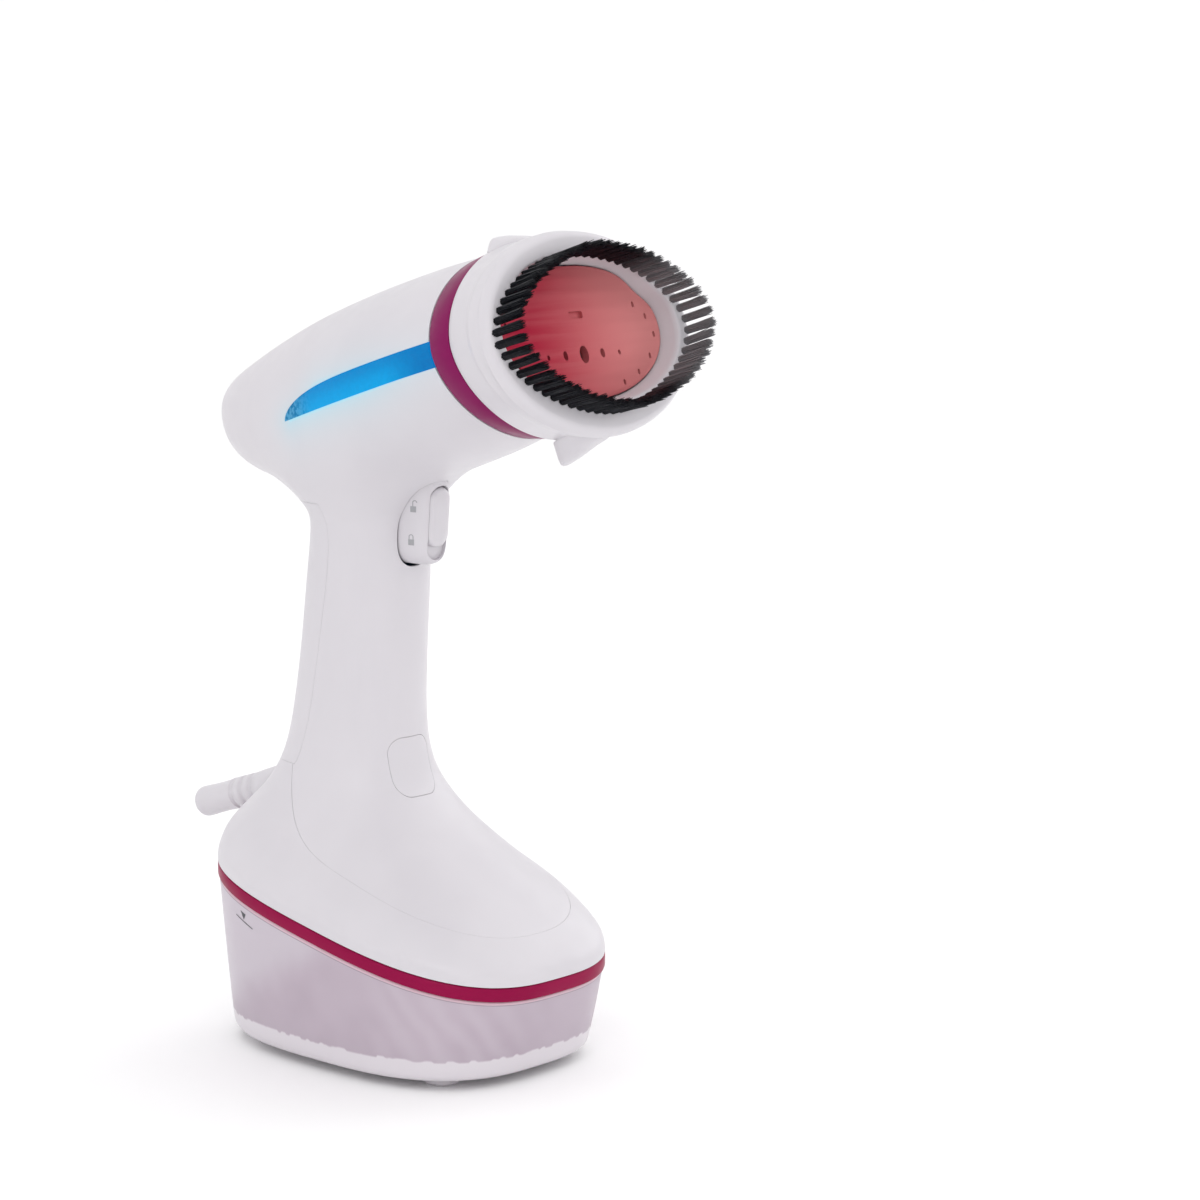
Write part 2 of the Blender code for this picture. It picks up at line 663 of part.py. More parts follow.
def tab_rings():
    """Finger tab, which reaches back over the head ring with a small gap under it."""
    depth_0, v_0 = TAB_ROOT
    return [[head_point(x, depth_0 + (depth - depth_0) * reach, v_0 + (v - v_0) * rise - crown_drop(x))
             for depth, v in TAB_OUTLINE] for x, reach, rise in TAB_SECTIONS]


def lug_rings():
    """Pointed lug under the frame for pulling the brush off."""
    return [[head_point(x, depth, v) for x, depth in superellipse(half_width, front, rear, 2.4, 16)]
            for v, front, rear, half_width in LUG_SECTIONS]


def make_brush():
    outer_depths = ((FRAME_REAR, 0.0), (19.0, 0.0), (13.0, 0.0), (7.0, 0.0), (2.5, 0.4), (0.6, 1.6),
                    (0.0, 3.4))
    rings = [[head_point(x, depth, v) for x, v in frame_outline(depth, inset)]
             for depth, inset in outer_depths]
    frame = make_object("brush_frame", mesh_from_rings("brush_frame", rings), "white_plastic")
    cavity = [[head_point(x, depth, v) for x, v in frame_outline(depth, FRAME_WALL)]
              for depth in (FRAME_REAR + 1.0, 19.0, 13.0, 9.0, 5.4)]
    cavity = make_object("frame_cavity", mesh_from_rings("frame_cavity", cavity), None)
    opening = head_prism("frame_opening", None, plate_outline(PLATE_CLEARANCE), -3.0, 7.0)
    tab = make_object("frame_tab", mesh_from_rings("frame_tab", tab_rings()), None)
    lug = make_object("frame_lug", mesh_from_rings("frame_lug", lug_rings()), None)
    boolean(frame, tab, "UNION")
    boolean(frame, lug, "UNION")
    cut(frame, cavity, opening)
    side = TUFT_THICKNESS / 2
    profile = ((-GAP, side), (-GAP, -side), (-BRISTLE_LENGTH, -side), (-BRISTLE_LENGTH, side))
    rings = [oval_ring(ROOTS, depth, inset, count=36) for depth, inset in profile]
    make_object("brush_bristles", mesh_from_rings("brush_bristles", rings, closed=True), "bristle_nylon")


# ---------------------------------------------------------------- controls

def trigger_face(height):
    """Front of the trigger pad at a height."""
    share = (height - TRIGGER_Z[0]) / (TRIGGER_Z[1] - TRIGGER_Z[0])
    return TRIGGER_FRONT[0] + (TRIGGER_FRONT[1] - TRIGGER_FRONT[0]) * share


def in_slot(x, z, depth):
    """A point at a depth behind the trigger's slanting face."""
    return Vector((x, trigger_face(z) + depth, z))


def make_trigger():
    trigger = make_object("trigger", mesh_from_rings("trigger", trigger_rings(0.0)), "white_plastic",
                          TRIGGER_PIVOT)
    slot_outline = rounded_outline(LOCK_SLOT_HALF_WIDTH, *LOCK_SLOT_Z, 4.0)
    slot = prism("lock_slot", None, slot_outline, in_slot, -9.0, LOCK_SLOT_DEPTH)
    bore = turned("trigger_bore", None, (-20, TRIGGER_PIVOT[1], TRIGGER_PIVOT[2]), (1, 0, 0),
                  ((0, 1.8), (40, 1.8)), 20)
    cut(trigger, slot, bore)
    turned("trigger_pin", "steel", (-11.0, TRIGGER_PIVOT[1], TRIGGER_PIVOT[2]), (1, 0, 0),
           ((0, 1.4), (22.0, 1.4)), 16)
    slider_outline = rounded_outline(LOCK_SLOT_HALF_WIDTH - GAP, *LOCK_SLIDER_Z, 3.6)
    middle = sum(LOCK_SLIDER_Z) / 2
    prism("lock_slider", "white_plastic", slider_outline, in_slot, 0.5, LOCK_SLOT_DEPTH - GAP,
          (0, trigger_face(middle), middle))
    coil_spring("trigger_spring", (0, TRIGGER_BACK + GAP, 172.6), (0, 1, 0), 9.0, 2.6, 0.45)
    block("microswitch", "black_plastic", (-3.2, 12.4, 176.2), (3.2, 19.0, 192.0))
    turned("switch_plunger", "grey_plastic", (0, 4.6, 178.0), (0, 1, 0), ((0, 1.3), (6.0, 1.3)), 10,
           pivot=(0, 4.6, 178.0))


def make_release(outside):
    button = button_block("release_button", 0.0, BUTTON_BACK)
    button.data.materials.append(MATERIALS["white_plastic"])
    boolean(button, outside, "INTERSECT")
    latch = block("tank_latch", "grey_plastic", (-5.0, BUTTON_BACK + GAP, 54.0), (5.0, 7.6, 98.0))
    hook = block("latch_hook", None, (-5.0, 3.0, 53.9), (5.0, 7.6, 56.0))
    boolean(latch, hook, "UNION")
    coil_spring("button_spring", (0, 7.9, 96.0), (0, 1, 0), 9.0, 3.2, 0.5)


# ---------------------------------------------------------------- base, pump and cord entry

def above_base(x, y, offset):
    """A point over the base plate's sloping underside."""
    return Vector((x, y, BAND_PLANE + BASE_PLATE_RISE + offset + BODY_SECTIONS[2][1] * y))


def make_base_plate():
    _, _, front, rear, half_width, exponent = BODY_SECTIONS[2]
    outline = superellipse(half_width - BASE_PLATE_INSET, front + BASE_PLATE_INSET,
                           rear - BASE_PLATE_INSET, exponent)
    plate = prism("base_plate", "white_plastic", outline, above_base, 0.0, 2.0)
    cut(plate, block("latch_slot", None, (-6.0, -4.0, 40.0), (6.0, 11.5, 80.0)),
        block("cap_window", None, (FILLER[0] - 10.5, FILLER[1] - 11.5, 40.0),
              (FILLER[0] + 10.5, FILLER[1] + 14.0, 90.0)),
        turned("coupling_hole", None, (*COUPLING, 40), (0, 0, 1), ((0, 5.4), (40, 5.4)), 14))


def make_water_path():
    base = band_point(*COUPLING, 0.0).z
    turned("water_coupling", "black_plastic", (*COUPLING, base + 2.6), (0, 0, 1),
           ((0, 3.6), (4.0, 5.0), (11.0, 5.0), (11.4, 2.6), (17.0, 2.6)), 14)
    turned("pump", "black_plastic", (*PUMP, 76.0), (0, 0, 1),
           ((0, 7.0), (1.0, 10.4), (33.0, 10.4), (34.0, 7.0), (34.4, 2.6), (41.0, 2.6)), 16)
    side = Vector((*PUMP, 0)) - Vector((*COUPLING, 0))
    side.normalize()
    port = Vector((*PUMP, base + 30.0)) - side * 10.9
    tube_along("pump_inlet_hose", "silicone",
               [(*COUPLING, base + 20.0), (*COUPLING, base + 23), Vector((*COUPLING, base + 27)) + side * 1.5,
                port - side * 3.0, port], 2.4, 8, 2)
    tube_along("pump_outlet_hose", "silicone",
               [(*PUMP, 117.4), (*PUMP, 135), (-3, 28, 165), (6, 24, 190), (14, 8, 208), (17.5, -12, 222),
                head_point(18, 50, 0), head_point(18, 40.8, 0)], 2.4, 8, 3)


def make_cord_entry(skirt):
    profile = [(0, GUARD_BORE), (0, 7.6), (2.0, 7.6), (2.2, 6.6), (10.0, 6.4), (20.0, 6.0)]
    for groove in GUARD_GROOVES:
        profile += [(groove, 5.6), (groove + 0.4, 4.9), (groove + 1.6, 4.9), (groove + 2.0, 5.5)]
    profile += [(43.5, 5.2), (52.0, 5.4), (55.8, 5.2), (56.9, 4.2), (GUARD_LENGTH, GUARD_BORE)]
    turned("cord_guard", "white_plastic", GUARD_START, GUARD_AXIS, profile, 14, closed=True)
    hole = ((0, 8.0), (3.6, 8.0), (3.61, 7.0), (30, 7.0))
    cut(skirt, turned("guard_hole", None, GUARD_START - GUARD_AXIS, GUARD_AXIS, hole, 16))
    block("cord_clamp", "black_plastic", (5.0, 39.5, 84.5), (17.0, 44.0, 88.0))
    block("terminal_block", "white_plastic", (-26.0, 40.0, 72.5), (-14.0, 48.0, 80.0))


def make_electronics():
    block("control_board", "circuit_board", (-19.0, 92.0, 6.0), (19.0, 128.0, 7.6),
          head_point)


def make_screws(cover):
    for label, (height, head_y) in SCREWS.items():
        turned("handle_screw_" + label, "steel", (0, head_y, height), (0, -1, 0),
               ((0, 2.7), (1.6, 2.7), (2.0, 1.3), (9.0, 1.3)), 10)
        cut(cover, turned("screw_hole_" + label, None, (0, 60, height), (0, -1, 0),
                          ((0, 3.3), (30, 3.3)), 12))


# ---------------------------------------------------------------- tank

def tank_outline(height_share, inset):
    """Tank section between its rim (1) and its floor (0)."""
    ease = height_share ** 0.8
    front = TANK_FRONT[0] + (TANK_FRONT[1] - TANK_FRONT[0]) * ease
    half_width = TANK_HALF_WIDTH[0] + (TANK_HALF_WIDTH[1] - TANK_HALF_WIDTH[0]) * ease
    taper = TANK_TAPER * (1 - ease)
    outline = superellipse(half_width - inset, front + inset, TANK_REAR - inset, 2.8, 36)
    middle = (front + TANK_REAR) / 2
    return [(x * (1 - taper * (y - middle) / (TANK_REAR - middle)), y) for x, y in outline]


def make_tank():
    rim = BAND_PLANE - GAP - BAND_HEIGHT - 0.25

    def section(share, inset, lift=0.0):
        top_slope = BAND_SLOPE * share
        height = TANK_FLOOR + (rim - TANK_FLOOR) * share + lift
        return [Vector((x, y, height + top_slope * y)) for x, y in tank_outline(share, inset)]

    rings = [section(0.0, 1.6), section(0.03, 0.2), section(0.12, 0.0), section(0.55, 0.0), section(1.0, 0.0),
             section(1.0, TANK_WALL), section(0.55, TANK_WALL), section(0.15, TANK_WALL), section(0.05, 4.4)]
    make_object("tank_shell", mesh_from_rings("tank_shell", rings), "tank_plastic", (0, 0, BAND_PLANE))

    _, _, front, rear, half_width, exponent = BODY_SECTIONS[0]
    outline = superellipse(half_width, front, rear, exponent, 40)
    lid = prism("tank_band", "magenta_plastic", outline, band_point, -GAP - BAND_HEIGHT, -GAP,
                (0, 0, BAND_PLANE))
    boolean(lid, block("lid_catch", None, (-4.0, -2.4, 48.0), (4.0, 2.2, 57.0)), "UNION")
    cut(lid, turned("valve_hole", None, (*COUPLING, 20), (0, 0, 1), ((0, 7.4), (60, 7.4)), 16),
        turned("filler_hole", None, (*FILLER, 20), (0, 0, 1),
               ((0, FILLER_RADIUS), (60, FILLER_RADIUS)), 18))
    base = band_point(*COUPLING, 0.0).z
    sleeve("tank_valve", "white_plastic", (*COUPLING, base - 8.0), (0, 0, 1), 10.0, 7.0, 1.9, 16)
    sleeve("pickup_tube", "silicone", (*COUPLING, 14.0), (0, 0, 1), base - 8.3 - 14.0, 2.6, 1.5, 10)
    sleeve("pickup_filter", "grey_plastic", (*COUPLING, 8.0), (0, 0, 1), 5.7, 4.6, 1.5, 12)
    normal = Vector((0, -BAND_SLOPE, 1)).normalized()
    hinge = band_point(FILLER[0], FILLER[1] + FILLER_HINGE, 0.6)
    turned("filler_cap", "silicone", band_point(*FILLER, 0.0) - normal * 3.0, normal,
           ((0, 5.2), (3.0, 6.2), (3.1, 9.2), (4.6, 9.2), (5.2, 8.4)), 18, pivot=hinge)
    for label, (x, y) in FOOT_PLACES.items():
        turned("foot_" + label, "tank_plastic", (x, y, 0), (0, 0, 1),
               ((0, FOOT_RADIUS - 0.8), (0.8, FOOT_RADIUS), (FOOT_HEIGHT, FOOT_RADIUS)), 18)


MATERIALS = {}


def build():
    clear_scene()
    MATERIALS.update(make_materials())
    cover, skirt, outside = make_housings()
    make_light_windows(outside)
    make_head_ring()
    make_steam_plate()
    make_steam_generator()
    make_nose_shroud()
    make_brush()
    make_trigger()
    make_release(outside)
    make_base_plate()
    make_water_path()
    make_cord_entry(skirt)
    make_electronics()
    make_screws(cover)
    make_tank()


build()
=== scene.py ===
"""Looks of the handheld garment steamer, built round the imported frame.

Sizes are in millimetres, in the frame's own axes: Z is up, the steam head faces -Y, X is its width.
"""
import math
import random

import bpy
import bmesh
import numpy as np
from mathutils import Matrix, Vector
from mathutils.bvhtree import BVHTree


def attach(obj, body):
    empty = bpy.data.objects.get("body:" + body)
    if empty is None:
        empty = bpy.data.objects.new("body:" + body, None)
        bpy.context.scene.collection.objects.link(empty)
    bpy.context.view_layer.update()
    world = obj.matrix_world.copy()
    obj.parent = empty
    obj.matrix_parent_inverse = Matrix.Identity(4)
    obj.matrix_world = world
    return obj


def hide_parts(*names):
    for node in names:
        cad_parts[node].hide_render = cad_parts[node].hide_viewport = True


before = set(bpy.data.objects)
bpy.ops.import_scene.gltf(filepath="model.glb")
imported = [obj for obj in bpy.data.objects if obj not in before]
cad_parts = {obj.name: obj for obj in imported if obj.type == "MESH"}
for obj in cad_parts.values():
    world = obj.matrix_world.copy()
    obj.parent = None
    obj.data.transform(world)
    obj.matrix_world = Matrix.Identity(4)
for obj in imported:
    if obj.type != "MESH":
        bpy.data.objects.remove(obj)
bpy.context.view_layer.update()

MM = 0.001
GAP = 0.35
WALL = 2.0

# Head: a barrel on an axis that tips up towards the front.
HEAD_TILT = math.radians(16.6)
HEAD_FRONT = Vector((0.0, -81.7, 249.7))
HEAD_BACK = Vector((0.0, math.cos(HEAD_TILT), -math.sin(HEAD_TILT)))
HEAD_UP = Vector((0.0, math.sin(HEAD_TILT), math.cos(HEAD_TILT)))
FRAME_REAR = 23.2
RING_DEPTHS = (23.6, 33.4)
HOUSING_FRONT = 33.8
PLATE_DEPTH = 5.8

# Head sections: depth, half width, top, bottom (both across the axis) and exponent.
HEAD_SECTIONS = (
    (26.0, 41.3, 33.7, -27.6, 1.72),
    (33.8, 41.1, 33.9, -28.0, 1.79),
    (51.0, 41.4, 34.4, -29.8, 1.95),
    (77.0, 39.3, 34.0, -31.2, 2.10),
    (103.0, 35.3, 32.6, -33.2, 2.15),
    (123.0, 31.0, 30.0, -27.8, 2.15),
    (140.0, 26.0, 26.8, -18.6, 2.15),
    (152.5, 20.0, 24.0, -11.5, 2.15),
    (160.5, 13.0, 20.4, -4.6, 2.15),
    (164.5, 5.5, 14.5, 3.0, 2.15),
    (165.3, 2.0, 10.8, 7.2, 2.15),
)
RING_FRONT = (42.8, 34.8, -30.3, 1.79)       # the head ring flares to this section
RING_REAR = HEAD_SECTIONS[1][1:]
RING_WALL = 1.9
HEAD_END = 165.3

# Handle and base sections: height, slope, front, rear, half width, exponent.
BODY_SECTIONS = (
    (51.1, 0.24, -67.2, 67.2, 50.4, 2.84),
    (56.0, 0.235, -65.2, 66.6, 50.2, 2.80),
    (63.0, 0.22, -54.4, 65.2, 45.9, 2.70),
    (71.0, 0.20, -36.2, 61.4, 37.4, 2.60),
    (80.0, 0.17, -17.6, 55.6, 31.0, 2.50),
    (90.0, 0.13, -5.4, 50.5, 26.6, 2.40),
    (101.0, 0.08, -1.2, 47.9, 22.9, 2.30),
    (115.0, 0.03, -0.8, 46.2, 20.6, 2.20),
    (135.0, 0.0, -1.4, 43.0, 19.8, 2.20),
    (160.0, 0.0, -3.0, 39.8, 19.3, 2.20),
    (180.0, 0.0, -4.0, 37.4, 19.4, 2.20),
    (189.0, 0.0, -7.0, 40.5, 20.8, 2.20),
    (200.0, 0.0, -12.0, 48.0, 23.5, 2.20),
)
BODY_END = 212.0                 # inside the head
FILLET = 11.0                    # softness of the corner between head and handle
SKIN_CELL = 1.15                 # mesh size of the white shell

# Seams between the three housing shells.
COVER_SEAM = ((31.0, 98.6), (29.0, 106.0), (21.5, 150.0), (18.6, 172.0), (20.0, 184.0), (27.0, 200.0))
COVER_TOP = 188.0
SCREWS = {"lower": (118.0, 41.2), "upper": (164.0, 38.6)}    # height and y of each screw's head
SCREW_HOLE_RADIUS = 3.1
SKIRT_TOP = 98.6
TONGUE_CENTRE_Y = -12.0
TONGUE_FRONT = 45.4
TONGUE_REAR = 50.0
TONGUE_HALF_WIDTH = 39.4
TONGUE_EXPONENT = 2.5
SEAM = 0.07                       # visible gap between the fixed shells
TRIGGER_GAP = 0.13                # round the trigger pad
TRIGGER_ROOM = 1.0                # more room below it, where it swings down
REACH = 130.0

# Light windows.
WINDOW_LOW = -1.7
WINDOW_RISE = 8.4
WINDOW_TIP = 110.6

# Tank.
BAND_SLOPE = 0.24
BAND_PLANE = 51.1
BAND_HEIGHT = 4.6
TANK_FLOOR = 3.4
TANK_WALL = 2.2
TANK_RIM = BAND_PLANE - GAP - BAND_HEIGHT - 0.25
COUPLING = (-18.0, 12.0)         # where water passes from the tank to the base
FILLER = (14.0, 32.0)            # filling hole in the tank's lid
HOLE_RADII = (7.4, 8.2)          # of the coupling's and the filling hole

# Brush and steam plate.
ROOTS = (47.2, -26.5, 25.3, 1.76)            # oval that the tufts stand on
BRISTLE_LENGTH = 12.4
TUFTS = 58
TUFT_RADIUS = 1.25
FILAMENTS = 60
PLATE_HALF_WIDTH = 41.0
PLATE_TOP = 22.8
PLATE_BOTTOM = 21.5
PLATE_EXPONENTS = (2.25, 2.0)    # of its upper and lower half
SLOT_POCKET = 1.2                # depth of the shallow slot in its upper half
FRAME_REAR_OVAL = (43.0, -30.8, 35.2, 1.8)
FRAME_FRONT_OVAL = (50.2, -34.4, 33.6, 2.0)
FRAME_WALL = 0.9
TAB_ROOT = (22.0, 35.3)          # depth and height that the tab shrinks towards
TAB_OUTLINE = ((19.0, 32.0), (FRAME_REAR, 32.4), (FRAME_REAR + 0.3, 35.4), (30.2, 35.5), (30.8, 36.7),
               (29.5, 38.0), (26.6, 38.3), (23.0, 37.2), (19.0, 35.2))
TAB_SECTIONS = (                 # place across the head, share of its reach, share of its height
    (-16.0, 0.10, 0.1),
    (-11.0, 0.40, 0.95),
    (-7.0, 0.66, 1.0),
    (-3.0, 0.98, 1.0),
    (3.0, 0.98, 1.0),
    (7.0, 0.66, 1.0),
    (11.0, 0.40, 0.95),
    (16.0, 0.10, 0.1),
)
LUG_SECTIONS = (                 # height, front depth, rear depth, half width
    (-29.4, 3.0, 23.2, 8.0),
    (-31.2, 3.0, 23.2, 7.6),
    (-31.5, 3.0, 24.6, 7.3),
    (-34.0, 4.5, 25.2, 5.6),
    (-35.6, 10.0, 25.5, 4.0),
    (-37.4, 16.0, 25.4, 3.0),
    (-38.7, 21.2, 25.0, 2.0),
    (-39.2, 23.3, 24.5, 0.8),
)
RIM_ROUNDING = (4.6, 3.2)        # front rim of the frame: along the head's axis and across it

# Trigger, its lock and the release button.
TRIGGER_Z = (168.0, 199.6)
TRIGGER_HALF_WIDTH = 7.6
TRIGGER_FRONT = (-13.8, -16.4)
TRIGGER_BACK = 3.0
TRIGGER_PIVOT = (0.0, 1.0, 193.0)
PIN_BORE_RADIUS = 1.6
SPRING_Z = 172.6
SPRING_SEAT_RADIUS = 4.0
SPRING_SEAT_DEPTH = 1.5
LOCK_SLOT_Z = (169.8, 195.0)
LOCK_SLOT_HALF_WIDTH = 4.6
LOCK_SLOT_DEPTH = 2.4
LOCK_SLIDER_Z = (174.2, 194.4)
BUTTON_Z = (88.7, 108.3)
BUTTON_HALF_WIDTH = 9.8
BUTTON_BACK = 4.6

# Printed marks. The padlocks are laid on the pad along FLANK_VIEW: place aside, height, open or closed.
FLANK_VIEW = Vector((0.768, 0.640, 0.0))
PADLOCKS = ((2.6, 188.2, True), (1.8, 177.0, False))
FILL_MARK = ((38.5, 48.9), (28.5, 45.6))     # y and height at both ends of the fill line

# Cord guard.
GUARD_START = Vector((0.0, 46.0, 89.6))
GUARD_AXIS = Vector((0.0, 0.956, -0.293)).normalized()
GUARD_LENGTH = 57.15
GUARD_GROOVES = (26.0, 31.0, 36.0)

# The white plastic's two shades.
SHELL_WHITE = ((0.640, 0.617, 0.648), (0.620, 0.598, 0.630))

# Camera and room.
CAMERA_PLACE = Vector((-878.3, -816.2, 324.2))
CAMERA_TILT = math.radians(81.96)
CAMERA_TURN = math.radians(-50.2)
CAMERA_LENS = 107.36
FLOOR_TOP = -0.05                # just under the feet
FLOOR_FLAT = 2600.0              # radius of its level part
FLOOR_BEND = 3400.0              # radius of the bend round it
ROOM_STRENGTH = 1.03
LIGHTS = {                       # place, size and power of each
    "key": ((-1300, -1100, 1500), 1100, 6.0),
    "side": ((1300, -200, 700), 900, 3.0),
}


# ---- curves and places

def signed_power(value, power):
    return math.copysign(abs(value) ** power, value)


def superellipse(half_width, low, high, exponent, count=96):
    """Closed outline: x is the half width, the other coordinate runs from low to high."""
    middle = (low + high) / 2
    half = (high - low) / 2
    angles = [2 * math.pi * index / count for index in range(count)]
    return [(half_width * signed_power(math.cos(angle), 2 / exponent),
             middle + half * signed_power(math.sin(angle), 2 / exponent)) for angle in angles]


def rounded_outline(half_width, low, high, radius, corner_steps=8):
    """Rectangle with rounded corners."""
    corners = ((half_width - radius, high - radius, 0), (-half_width + radius, high - radius, 1),
               (-half_width + radius, low + radius, 2), (half_width - radius, low + radius, 3))
    points = []
    for x, z, quarter in corners:
        for step in range(corner_steps + 1):
            angle = math.pi / 2 * (quarter + step / corner_steps)
            points.append((x + radius * math.cos(angle), z + radius * math.sin(angle)))
    return points


def catmull_rom(rows, steps):
    """Rows of numbers joined by a smooth curve, with `steps` spans between two rows."""
    smooth = []
    for index in range(len(rows) - 1):
        before = rows[max(index - 1, 0)]
        start, end = rows[index], rows[index + 1]
        after = rows[min(index + 2, len(rows) - 1)]
        for step in range(steps):
            t = step / steps
            smooth.append(tuple(
                0.5 * ((2 * b) + (c - a) * t + (2 * a - 5 * b + 4 * c - d) * t * t
                       + (3 * b - a - 3 * c + d) * t ** 3)
                for a, b, c, d in zip(before, start, end, after)))
    smooth.append(tuple(rows[-1]))
    return smooth


def head_point(x, depth, across):
    """A point of the head from its width, depth behind the bristle plane and height over the axis."""
    return HEAD_FRONT + Vector((x, 0, 0)) + HEAD_BACK * depth + HEAD_UP * across


def across_head(x, v, depth):
    """head_point, for outlines drawn as seen from the head's front."""
    return head_point(x, depth, v)


def head_rings(outlines):
    """Rings across the head from pairs of a depth and an outline."""
    return [[head_point(x, depth, v) for x, v in outline] for depth, outline in outlines]


def band_point(x, y, offset):
    """A point over the tank's sloping parting plane."""
    return Vector((x, y, BAND_PLANE + BAND_SLOPE * y + offset))


def upright(x, y, z):
    return Vector((x, y, z))


def facing_front(x, z, y):
    """For outlines drawn as seen from the front, extruded along Y."""
    return Vector((x, y, z))


# ---- meshes

def mesh_of(name, points, faces):
    mesh = bpy.data.meshes.new(name)
    mesh.from_pydata([Vector(point) * MM for point in points], [], faces)
    mesh.update()
    return mesh


def strip_faces(lower, upper, count):
    """Quads between two rings of points that start at the given indices."""
    return [(lower + i, lower + (i + 1) % count, upper + (i + 1) % count, upper + i) for i in range(count)]


def mesh_from_rings(name, rings, closed=False):
    """Skin a list of equal rings; the ends are capped, or joined to each other when closed."""
    count = len(rings[0])
    points = [point for ring in rings for point in ring]
    faces = []
    spans = len(rings) if closed else len(rings) - 1
    for row in range(spans):
        faces += strip_faces(row * count, (row + 1) % len(rings) * count, count)
    if not closed:
        faces.append(tuple(reversed(range(count))))
        faces.append(tuple(range((len(rings) - 1) * count, len(rings) * count)))
    mesh = mesh_of(name, points, faces)
    bm = bmesh.new()
    bm.from_mesh(mesh)
    bmesh.ops.recalc_face_normals(bm, faces=bm.faces)
    bm.to_mesh(mesh)
    bm.free()
    return mesh


def add_object(name, mesh):
    obj = bpy.data.objects.new(name, mesh)
    bpy.context.scene.collection.objects.link(obj)
    return obj


def loft(name, rings, closed=False):
    return add_object(name, mesh_from_rings(name, rings, closed))


def prism(name, outline, place, low, high):
    return loft(name, [[place(a, b, height) for a, b in outline] for height in (low, high)])


def drop(obj):
    """Remove a helper object and its mesh."""
    mesh = obj.data
    bpy.data.objects.remove(obj, do_unlink=True)
    bpy.data.meshes.remove(mesh)


def apply_modifiers(obj):
    depsgraph = bpy.context.evaluated_depsgraph_get()
    depsgraph.update()
    mesh = bpy.data.meshes.new_from_object(obj.evaluated_get(depsgraph))
    old = obj.data
    obj.modifiers.clear()
    obj.data = mesh
    bpy.data.meshes.remove(old)


def combine(target, operation, *tools, solver="MANIFOLD"):
    """Boolean with each tool in turn, applied; the tools are removed."""
    for tool in tools:
        modifier = target.modifiers.new(operation.lower(), "BOOLEAN")
        modifier.operation = operation
        modifier.object = tool
        modifier.solver = solver
        apply_modifiers(target)
        drop(tool)


def copy_of(obj, name):
    return add_object(name, obj.data.copy())


def finish_piece(obj, name, material, body, nodes, sharp=32):
    """Name a piece, give it its material, and tie it to the frame."""
    obj.name = name
    obj.data.name = name
    obj.data.materials.clear()
    obj.data.materials.append(material)
    obj.data.shade_smooth()
    obj.data.set_sharp_from_angle(angle=math.radians(sharp))
    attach(obj, body)
    if nodes:
        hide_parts(*nodes)
    return obj


# ---- the white shell as one smooth surface

HEAD_TABLE = np.array(catmull_rom(HEAD_SECTIONS, 16))
BODY_TABLE = np.array(catmull_rom(BODY_SECTIONS, 16))


def section_values(table, parameter):
    """Each column of a section table at the parameter, held constant past both ends."""
    return [np.interp(parameter, table[:, 0], column) for column in table.T[1:]]


def distance_out(across, along, half_width, low, high, exponent):
    """Distance outside a superellipse, measured along the ray from its centre."""
    offset = along - (low + high) / 2
    norm = (np.abs(across / half_width) ** exponent
            + np.abs(2 * offset / (high - low)) ** exponent) ** (1 / exponent)
    return np.hypot(across, offset) * (1 - 1 / np.maximum(norm, 1e-6))


def head_field(points):
    relative = points - np.array(HEAD_FRONT)
    depth = relative @ np.array(HEAD_BACK)
    across = relative @ np.array(HEAD_UP)
    half_width, top, bottom, exponent = section_values(HEAD_TABLE, depth)
    side = distance_out(points[:, 0], across, half_width, bottom, top, exponent)
    return np.maximum(side, depth - HEAD_END)


def body_field(points):
    x, y, z = points.T
    height = z
    for _ in range(8):
        slope = section_values(BODY_TABLE, height)[0]
        height = z - slope * y
    _, front, rear, half_width, exponent = section_values(BODY_TABLE, height)
    side = distance_out(x, y, half_width, front, rear, exponent)
    return np.maximum(side, height - BODY_END)


def shell_field(points):
    """Signed distance, in mm, to the head and handle joined by a soft corner."""
    head, body = head_field(points), body_field(points)
    share = np.clip(0.5 + 0.5 * (body - head) / FILLET, 0, 1)
    return body * (1 - share) + head * share - FILLET * share * (1 - share)


def settle_on_field(mesh, level, rounds=8, step=0.05, reach=1.2):
    """Move a mesh's points along the field's slope until they lie on the given level."""
    flat = np.empty(len(mesh.vertices) * 3)
    mesh.vertices.foreach_get("co", flat)
    points = flat.reshape(-1, 3) / MM
    for _ in range(rounds):
        value = shell_field(points) - level
        slope = np.empty_like(points)
        for axis in range(3):
            shift = np.zeros(3)
            shift[axis] = step
            slope[:, axis] = (shell_field(points + shift) - shell_field(points - shift)) / (2 * step)
        size = np.maximum((slope ** 2).sum(axis=1), 0.05)
        move = slope * (-value / size)[:, None]
        length = np.maximum(np.linalg.norm(move, axis=1), 1e-9)
        points = points + move * np.minimum(1, reach / length)[:, None]
    mesh.vertices.foreach_set("co", (points * MM).ravel())
    mesh.update()


def rough_shell():
    """Head and handle as overlapping lofts, longer than the real ones, in one even mesh."""
    body_rings = []
    for height, slope, front, rear, half_width, exponent in catmull_rom(BODY_SECTIONS, 3):
        outline = superellipse(half_width, front, rear, exponent)
        body_rings.append([Vector((x, y, height + slope * y)) for x, y in outline])
    body_rings.insert(0, [point - Vector((0, 0, 9)) for point in body_rings[0]])
    body = loft("body_rough", body_rings)
    sections = catmull_rom(HEAD_SECTIONS, 4)
    head = loft("head_rough", head_rings((depth, superellipse(half_width, bottom, top, exponent))
                                         for depth, half_width, top, bottom, exponent in sections))
    combine(body, "UNION", head)
    remesh = body.modifiers.new("remesh", "REMESH")
    remesh.mode = "VOXEL"
    remesh.voxel_size = SKIN_CELL * MM
    apply_modifiers(body)
    return body


